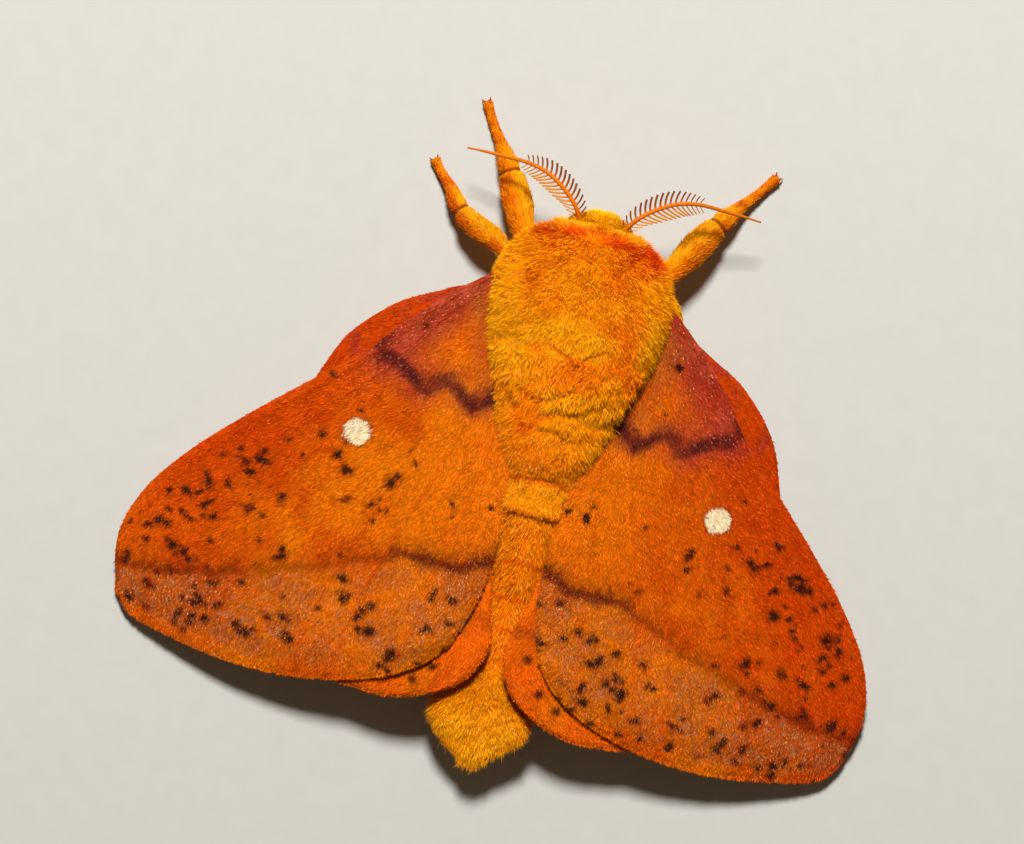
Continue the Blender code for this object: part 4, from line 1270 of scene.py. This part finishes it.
def growWingCoat(wing, seed):
    for face, way in (("Upper", 1), ("Lower", -1)):
        spots = evenPlaces(wingCoat[face][wing.kind], seed + way)
        # Rows crowd towards the narrow root, so the roots of the scales are thinned there
        u = np.clip(np.sqrt(np.clip(spots[:, 0], 0, 1)) * 0.995 + 0.004, 0.01, 0.998)
        v = np.clip(spots[:, 1], 0.002, 0.998)
        here, normal, along, across = wing.frame(u, v, 0.0 if way > 0 else wingLook["thickness"])
        lies = along + across * ((v - 0.4) * 0.35 * ease(0.0, 0.15, v))[:, None]
        # Each scale takes the colour of a spot close by, which feathers the edges of the marks
        draw = np.random.default_rng(seed + way + 5)
        shiftU, shiftV = (draw.normal(0, spread, len(u)) for spread in wingCoat["feather"])
        tint = wing.colour(np.clip(u + shiftU, 0, 1), np.clip(v + shiftV, 0, 1))
        glint = wing.glint(u, v) * (draw.random(len(u)) < wingCoat["glintShare"])
        tint = blendTo(tint, wingPalette["glint"], glint * draw.uniform(0.1, 0.75, len(u)))
        if way < 0:
            tint = blendTo(tint, wingPalette["light"], np.full(len(u), wingLook["pale"]))
        lengths = 1 - 0.5 * (glint > 0.2)
        wing.grow(f"Coat{face}", here, normal * way, lies, u, v, tint, lengths, wingCoat, seed + way)


wingFringe = dict(
    wingCoat, count={"forewing": 8500, "hindwing": 5500}, length=0.17, width=0.04, lift=0.05, liftSpread=0.2,
    stray=0.3, roll=0.6, outerShare=0.62, frontFrom=0.84, inset=0.012, clear=0.1,
)


def growWingFringe(wing, seed):
    # Short scales stand out along the outer and inner margins, and lie close along the front edge
    count = wingFringe["count"][wing.kind]
    draw = np.random.default_rng(seed)
    t = draw.random(count)
    inward = draw.uniform(0.0, wingFringe["inset"], count)
    onOuter, onFront = t < wingFringe["outerShare"], t > wingFringe["frontFrom"]
    spread = draw.random(count)
    u = np.where(onOuter, 1 - inward, spread * 0.9 + 0.1)
    v = np.where(onOuter, spread, np.where(onFront, inward * 0.7, 1 - inward))
    here, normal, along, across = wing.frame(u, v, wingLook["thickness"] * 0.4)
    lies = np.where(onFront[:, None], along - across * 0.12, along * 0.6 + across * 0.8)
    lies = np.where(onOuter[:, None], along, lies)
    tint = blendTo(wing.colour(u, v), wingPalette["light"], np.full(count, 0.2))
    lengths = np.where(onFront, 0.7, 1.0)
    wing.grow("Fringe", here, normal, lies, u, v, tint, lengths, wingFringe, seed)


wings = [Wing(kind, side) for kind in wingEdges for side in sidePoses]
for n, wing in enumerate(wings):
    buildWingSkin(wing)
    growWingCoat(wing, 100 + 10 * n)
    growWingFringe(wing, 200 + 10 * n)
print("wings made")

growThoraxCoat()
growMantle()
growAbdomenCoat()
growTailCoat()
growHeadCoat()
growLegCoats()
print("hair grown")


# Antennae: a shaft, and two rows of branches that a node tree sets along it

antennaLook = {
    "shaftScale": 0.38, "shaftRings": 110, "ripples": 40,
    "First": 0.035, "Last": 0.58, "Count": 18, "Droop": 0.1 * mm,
    "rows": {
        "Front": {"Length": 0.68 * mm, "Sweep": 0.12, "Bend": 0.45, "Radius": 0.056 * mm, "Side": -1.0},
        "Rear": {"Length": 0.72 * mm, "Sweep": 0.55, "Bend": 0.3, "Radius": 0.048 * mm, "Side": 1.0},
    },
}


def branchTree():
    tree = bpy.data.node_groups.new("branchesAlongShaft", "GeometryNodeTree")
    sizes = dict.fromkeys(("First", "Last", "Length", "Side", "Sweep", "Bend", "Droop", "Radius"), "Float")
    inputs = {"Geometry": "Geometry", **sizes, "Count": "Int", "Finish": "Material"}
    for name, kind in inputs.items():
        tree.interface.new_socket(name, in_out="INPUT", socket_type=f"NodeSocket{kind}")
    tree.interface.new_socket("Geometry", in_out="OUTPUT", socket_type="NodeSocketGeometry")
    nodes = Nodes(tree)
    start = nodes.add("NodeGroupInput", {}, {}).socket.node
    given = {name: Wire(tree, start.outputs[name]) for name in inputs}
    # One branch: a line that sweeps towards the tip and droops, tapering to its end
    end = nodes.add("ShaderNodeCombineXYZ", {}, {"Y": given["Length"] * given["Side"]})
    line = nodes.add("GeometryNodeCurvePrimitiveLine", {}, {"End": end})
    line = nodes.add("GeometryNodeResampleCurve", {"mode": "COUNT"}, {"Curve": line, "Count": 9})
    share = nodes.add("GeometryNodeSplineParameter", {}, {}, "Factor")
    squared = share * share
    sweep = (given["Sweep"] * share + given["Bend"] * squared) * given["Length"]
    offset = nodes.add("ShaderNodeCombineXYZ", {}, {"X": sweep, "Z": given["Droop"] * squared * -1.0})
    line = nodes.add("GeometryNodeSetPosition", {}, {"Geometry": line, "Offset": offset})
    line = nodes.add("GeometryNodeSetCurveRadius", {}, {"Curve": line, "Radius": 1.0 - squared * 0.45})
    stored = {"Geometry": line, "Name": "share", "Value": share}
    line = nodes.add("GeometryNodeStoreNamedAttribute", {"data_type": "FLOAT", "domain": "POINT"}, stored)
    ring = nodes.add("GeometryNodeCurvePrimitiveCircle", {}, {"Resolution": 6, "Radius": given["Radius"]})
    tube = {"Curve": line, "Profile Curve": ring, "Fill Caps": True}
    branch = nodes.add("GeometryNodeCurveToMesh", {}, tube)
    # Rows of them along the shaft, longest in the middle
    span = {"Curve": given["Geometry"], "Start": given["First"], "End": given["Last"]}
    trimmed = nodes.add("GeometryNodeTrimCurve", {"mode": "FACTOR"}, span)
    counted = {"Curve": trimmed, "Count": given["Count"]}
    dots = nodes.add("GeometryNodeCurveToPoints", {"mode": "COUNT"}, counted)
    tangent = Wire(tree, dots.socket.node.outputs["Tangent"])
    turned = nodes.add("FunctionNodeAlignRotationToVector", {"axis": "X"}, {"Vector": tangent})
    upright = {"Rotation": turned, "Vector": (0.0, 0.0, 1.0)}
    turned = nodes.add("FunctionNodeAlignRotationToVector", {"axis": "Z", "pivot_axis": "X"}, upright)
    index = nodes.add("GeometryNodeInputIndex", {}, {})
    part = (index + 1.5) / (given["Count"] + 2.0)
    size = 0.38 + part.maths("SINE", part * math.pi, 0.0) * 0.62
    rows = {"Points": dots, "Instance": branch, "Rotation": turned, "Scale": size}
    rows = nodes.add("GeometryNodeInstanceOnPoints", {}, rows)
    real = nodes.add("GeometryNodeRealizeInstances", {}, {"Geometry": rows})
    done = nodes.add("GeometryNodeSetMaterial", {}, {"Geometry": real, "Material": given["Finish"]})
    nodes.add("NodeGroupOutput", {}, {"Geometry": done})
    return tree


def branchRow(tree, side, row, shaft):
    curve = bpy.data.curves.new("shaftLine", "CURVE")
    curve.dimensions = "3D"
    spline = curve.splines.new("POLY")
    points = shaft.table[::3, :3].copy()
    points[:, 0] -= boxMiddleX
    spline.points.add(len(points) - 1)
    for spot, place in zip(spline.points, points * mm):
        spot.co = (*place, 1.0)
    holder = newObject("shaftLine", curve)
    modifier = holder.modifiers.new("branches", "NODES")
    modifier.node_group = tree
    values = dict(antennaLook, **antennaLook["rows"][row], Finish=finishes[f"antenna{row}Row"])
    values["Side"] *= sidePoses[side]["sign"]
    for item in tree.interface.items_tree:
        if item.in_out == "INPUT" and item.name in values:
            modifier[item.identifier] = values[item.name]
    made = plainMesh(holder)
    made.name = f"antenna{row}Row_{side}"
    faceOutwards(made)
    settle(newObject(made.name, made), "antenna_horn")


def buildAntenna(tree, side):
    shaft = posedLimb(antennaStations, "antenna", side, headX)
    count = antennaLook["shaftRings"]
    rings = shaft.rings(0.0, count, 12, antennaLook["shaftScale"])
    # Fine rings along the shaft
    swell = 1 + 0.07 * np.sin(np.linspace(0, 1, count) * fullTurn * antennaLook["ripples"])
    centres = rings.mean(axis=1, keepdims=True)
    points, faces = joinForms([centres + (rings - centres) * swell[:, None, None]])
    obj = addMesh(f"antennaShaft_{side}", points, faces, "antennaShaft")
    faceOutwards(obj.data)
    settle(obj, "antenna_horn", f"antenna_{side}")
    for row in antennaLook["rows"]:
        branchRow(tree, side, row, shaft)


shaftTree = branchTree()
for side in sidePoses:
    buildAntenna(shaftTree, side)
print("antennae made")


# Eyes and claws

def buildEye(side):
    x, y, z = eyeLook["centre"]
    bm = bmesh.new()
    bmesh.ops.create_icosphere(bm, subdivisions=5, radius=eyeLook["radius"] * mm)
    middle = Vector((headX + x * sidePoses[side]["sign"] - boxMiddleX, y, z)) * mm
    flattened = Matrix.Translation(middle) @ Matrix.Diagonal((eyeLook["width"], 1.0, 1.0, 1.0))
    bmesh.ops.transform(bm, matrix=flattened, verts=bm.verts[:])
    mesh = bpy.data.meshes.new(f"eyeBall_{side}")
    bm.to_mesh(mesh)
    bm.free()
    mesh.materials.append(finishes["eyeFacets"])
    mesh.polygons.foreach_set("use_smooth", np.ones(len(mesh.polygons), bool))
    settle(newObject(mesh.name, mesh), "eye_facets", f"eye_{side}")


clawLook = {
    "length": 0.22, "setBack": 0.1, "apart": 0.09,
    # share of the length, spread, rise and radius
    "stations": ((0.0, 0.0, 0.02, 0.07), (0.5, 0.06, 0.08, 0.05), (1.0, 0.14, -0.16, 0.02)),
}


def buildClaws():
    # Two on each foot
    length = clawLook["length"]
    forms = []
    for limb in legs.values():
        foot = limb.table[-1, :3]
        ahead = unit(limb.ahead[-1] * [1, 1, 0])
        sideways = np.array([-ahead[1], ahead[0], 0])
        for way in (-1, 1):
            root = foot - ahead * clawLook["setBack"] + sideways * clawLook["apart"] * way
            claw = Limb([
                (*(root + ahead * length * share + sideways * spread * way + [0, 0, rise]), radius)
                for share, spread, rise, radius in clawLook["stations"]
            ])
            rings = claw.rings(0.0, 12, 8)
            radii = claw.pick(claw.table, np.linspace(0, 1, 12))[:, 3]
            centres = rings.mean(axis=1, keepdims=True)
            forms.append(centres + unit(rings - centres) * radii[:, None, None])
    points, faces = joinForms(forms)
    obj = addMesh("claws", points, faces, "claws")
    faceOutwards(obj.data)
    settle(obj, "leg_fur")


for side in sidePoses:
    buildEye(side)
buildClaws()
print("eyes and claws made")


# Stage: floor, light and camera

stageLook = {
    "target": (1.39, -0.6, 0.0), "turn": 13.3, "tilt": 8.5, "distance": 250.0, "lens": 172.27,
    "lightTilt": 38.5, "lightDistance": 400.0, "lightSize": 64.0, "lightPower": 2.42,
    "lightColour": (1.0, 0.985, 0.95), "sky": 0.09, "skyColour": (1.0, 0.76, 0.5, 1.0),
    "floor": ((0.54, 0.537, 0.508, 1.0), (0.58, 0.577, 0.548, 1.0)),
}


def buildStage():
    bpy.ops.mesh.primitive_plane_add(size=1.2, location=(0, 0, 0))
    floor = bpy.context.object
    floor.name = "floor"
    finish = Finish("paleFloor")
    colour = finish.mixed(finish.spots(900.0), *stageLook["floor"])
    finish.feed(finish.shader, {"Base Color": colour, "Roughness": 0.95, "Specular IOR Level": 0.1})
    floor.data.materials.append(finish.material)
    turn, tilt = math.radians(stageLook["turn"]), math.radians(stageLook["tilt"])
    right = Vector((-math.cos(turn), -math.sin(turn), 0))
    upward = Vector((math.sin(turn), -math.cos(turn), 0))
    straightUp = Vector((0, 0, 1))
    back = straightUp * math.cos(tilt) + upward * math.sin(tilt)
    up = upward * math.cos(tilt) - straightUp * math.sin(tilt)
    target = Vector(stageLook["target"]) * mm
    camera = bpy.data.cameras.new("camera")
    camera.lens = stageLook["lens"]
    camera.sensor_width = 36.0
    camera.clip_start = 0.01
    camera.clip_end = 10.0
    holder = newObject("camera", camera)
    facing = Matrix((right, up, back)).transposed().to_4x4()
    holder.matrix_world = Matrix.Translation(target + back * stageLook["distance"] * mm) @ facing
    bpy.context.scene.camera = holder
    lamp = bpy.data.lights.new("flash", "AREA")
    lamp.shape = "DISK"
    lamp.size = stageLook["lightSize"] * mm
    lamp.energy = stageLook["lightPower"]
    lamp.color = stageLook["lightColour"]
    tilt = math.radians(stageLook["lightTilt"])
    way = straightUp * math.cos(tilt) + upward * math.sin(tilt)
    facing = way.to_track_quat("Z", "Y").to_matrix().to_4x4()
    lampHolder = newObject("flash", lamp)
    lampHolder.matrix_world = Matrix.Translation(target + way * stageLook["lightDistance"] * mm) @ facing
    world = bpy.data.worlds.new("sky")
    bpy.context.scene.world = world
    world.use_nodes = True
    sky = world.node_tree.nodes["Background"]
    sky.inputs["Color"].default_value = stageLook["skyColour"]
    sky.inputs["Strength"].default_value = stageLook["sky"]
    bpy.context.scene.view_settings.view_transform = "Standard"


buildStage()
print("stage set")
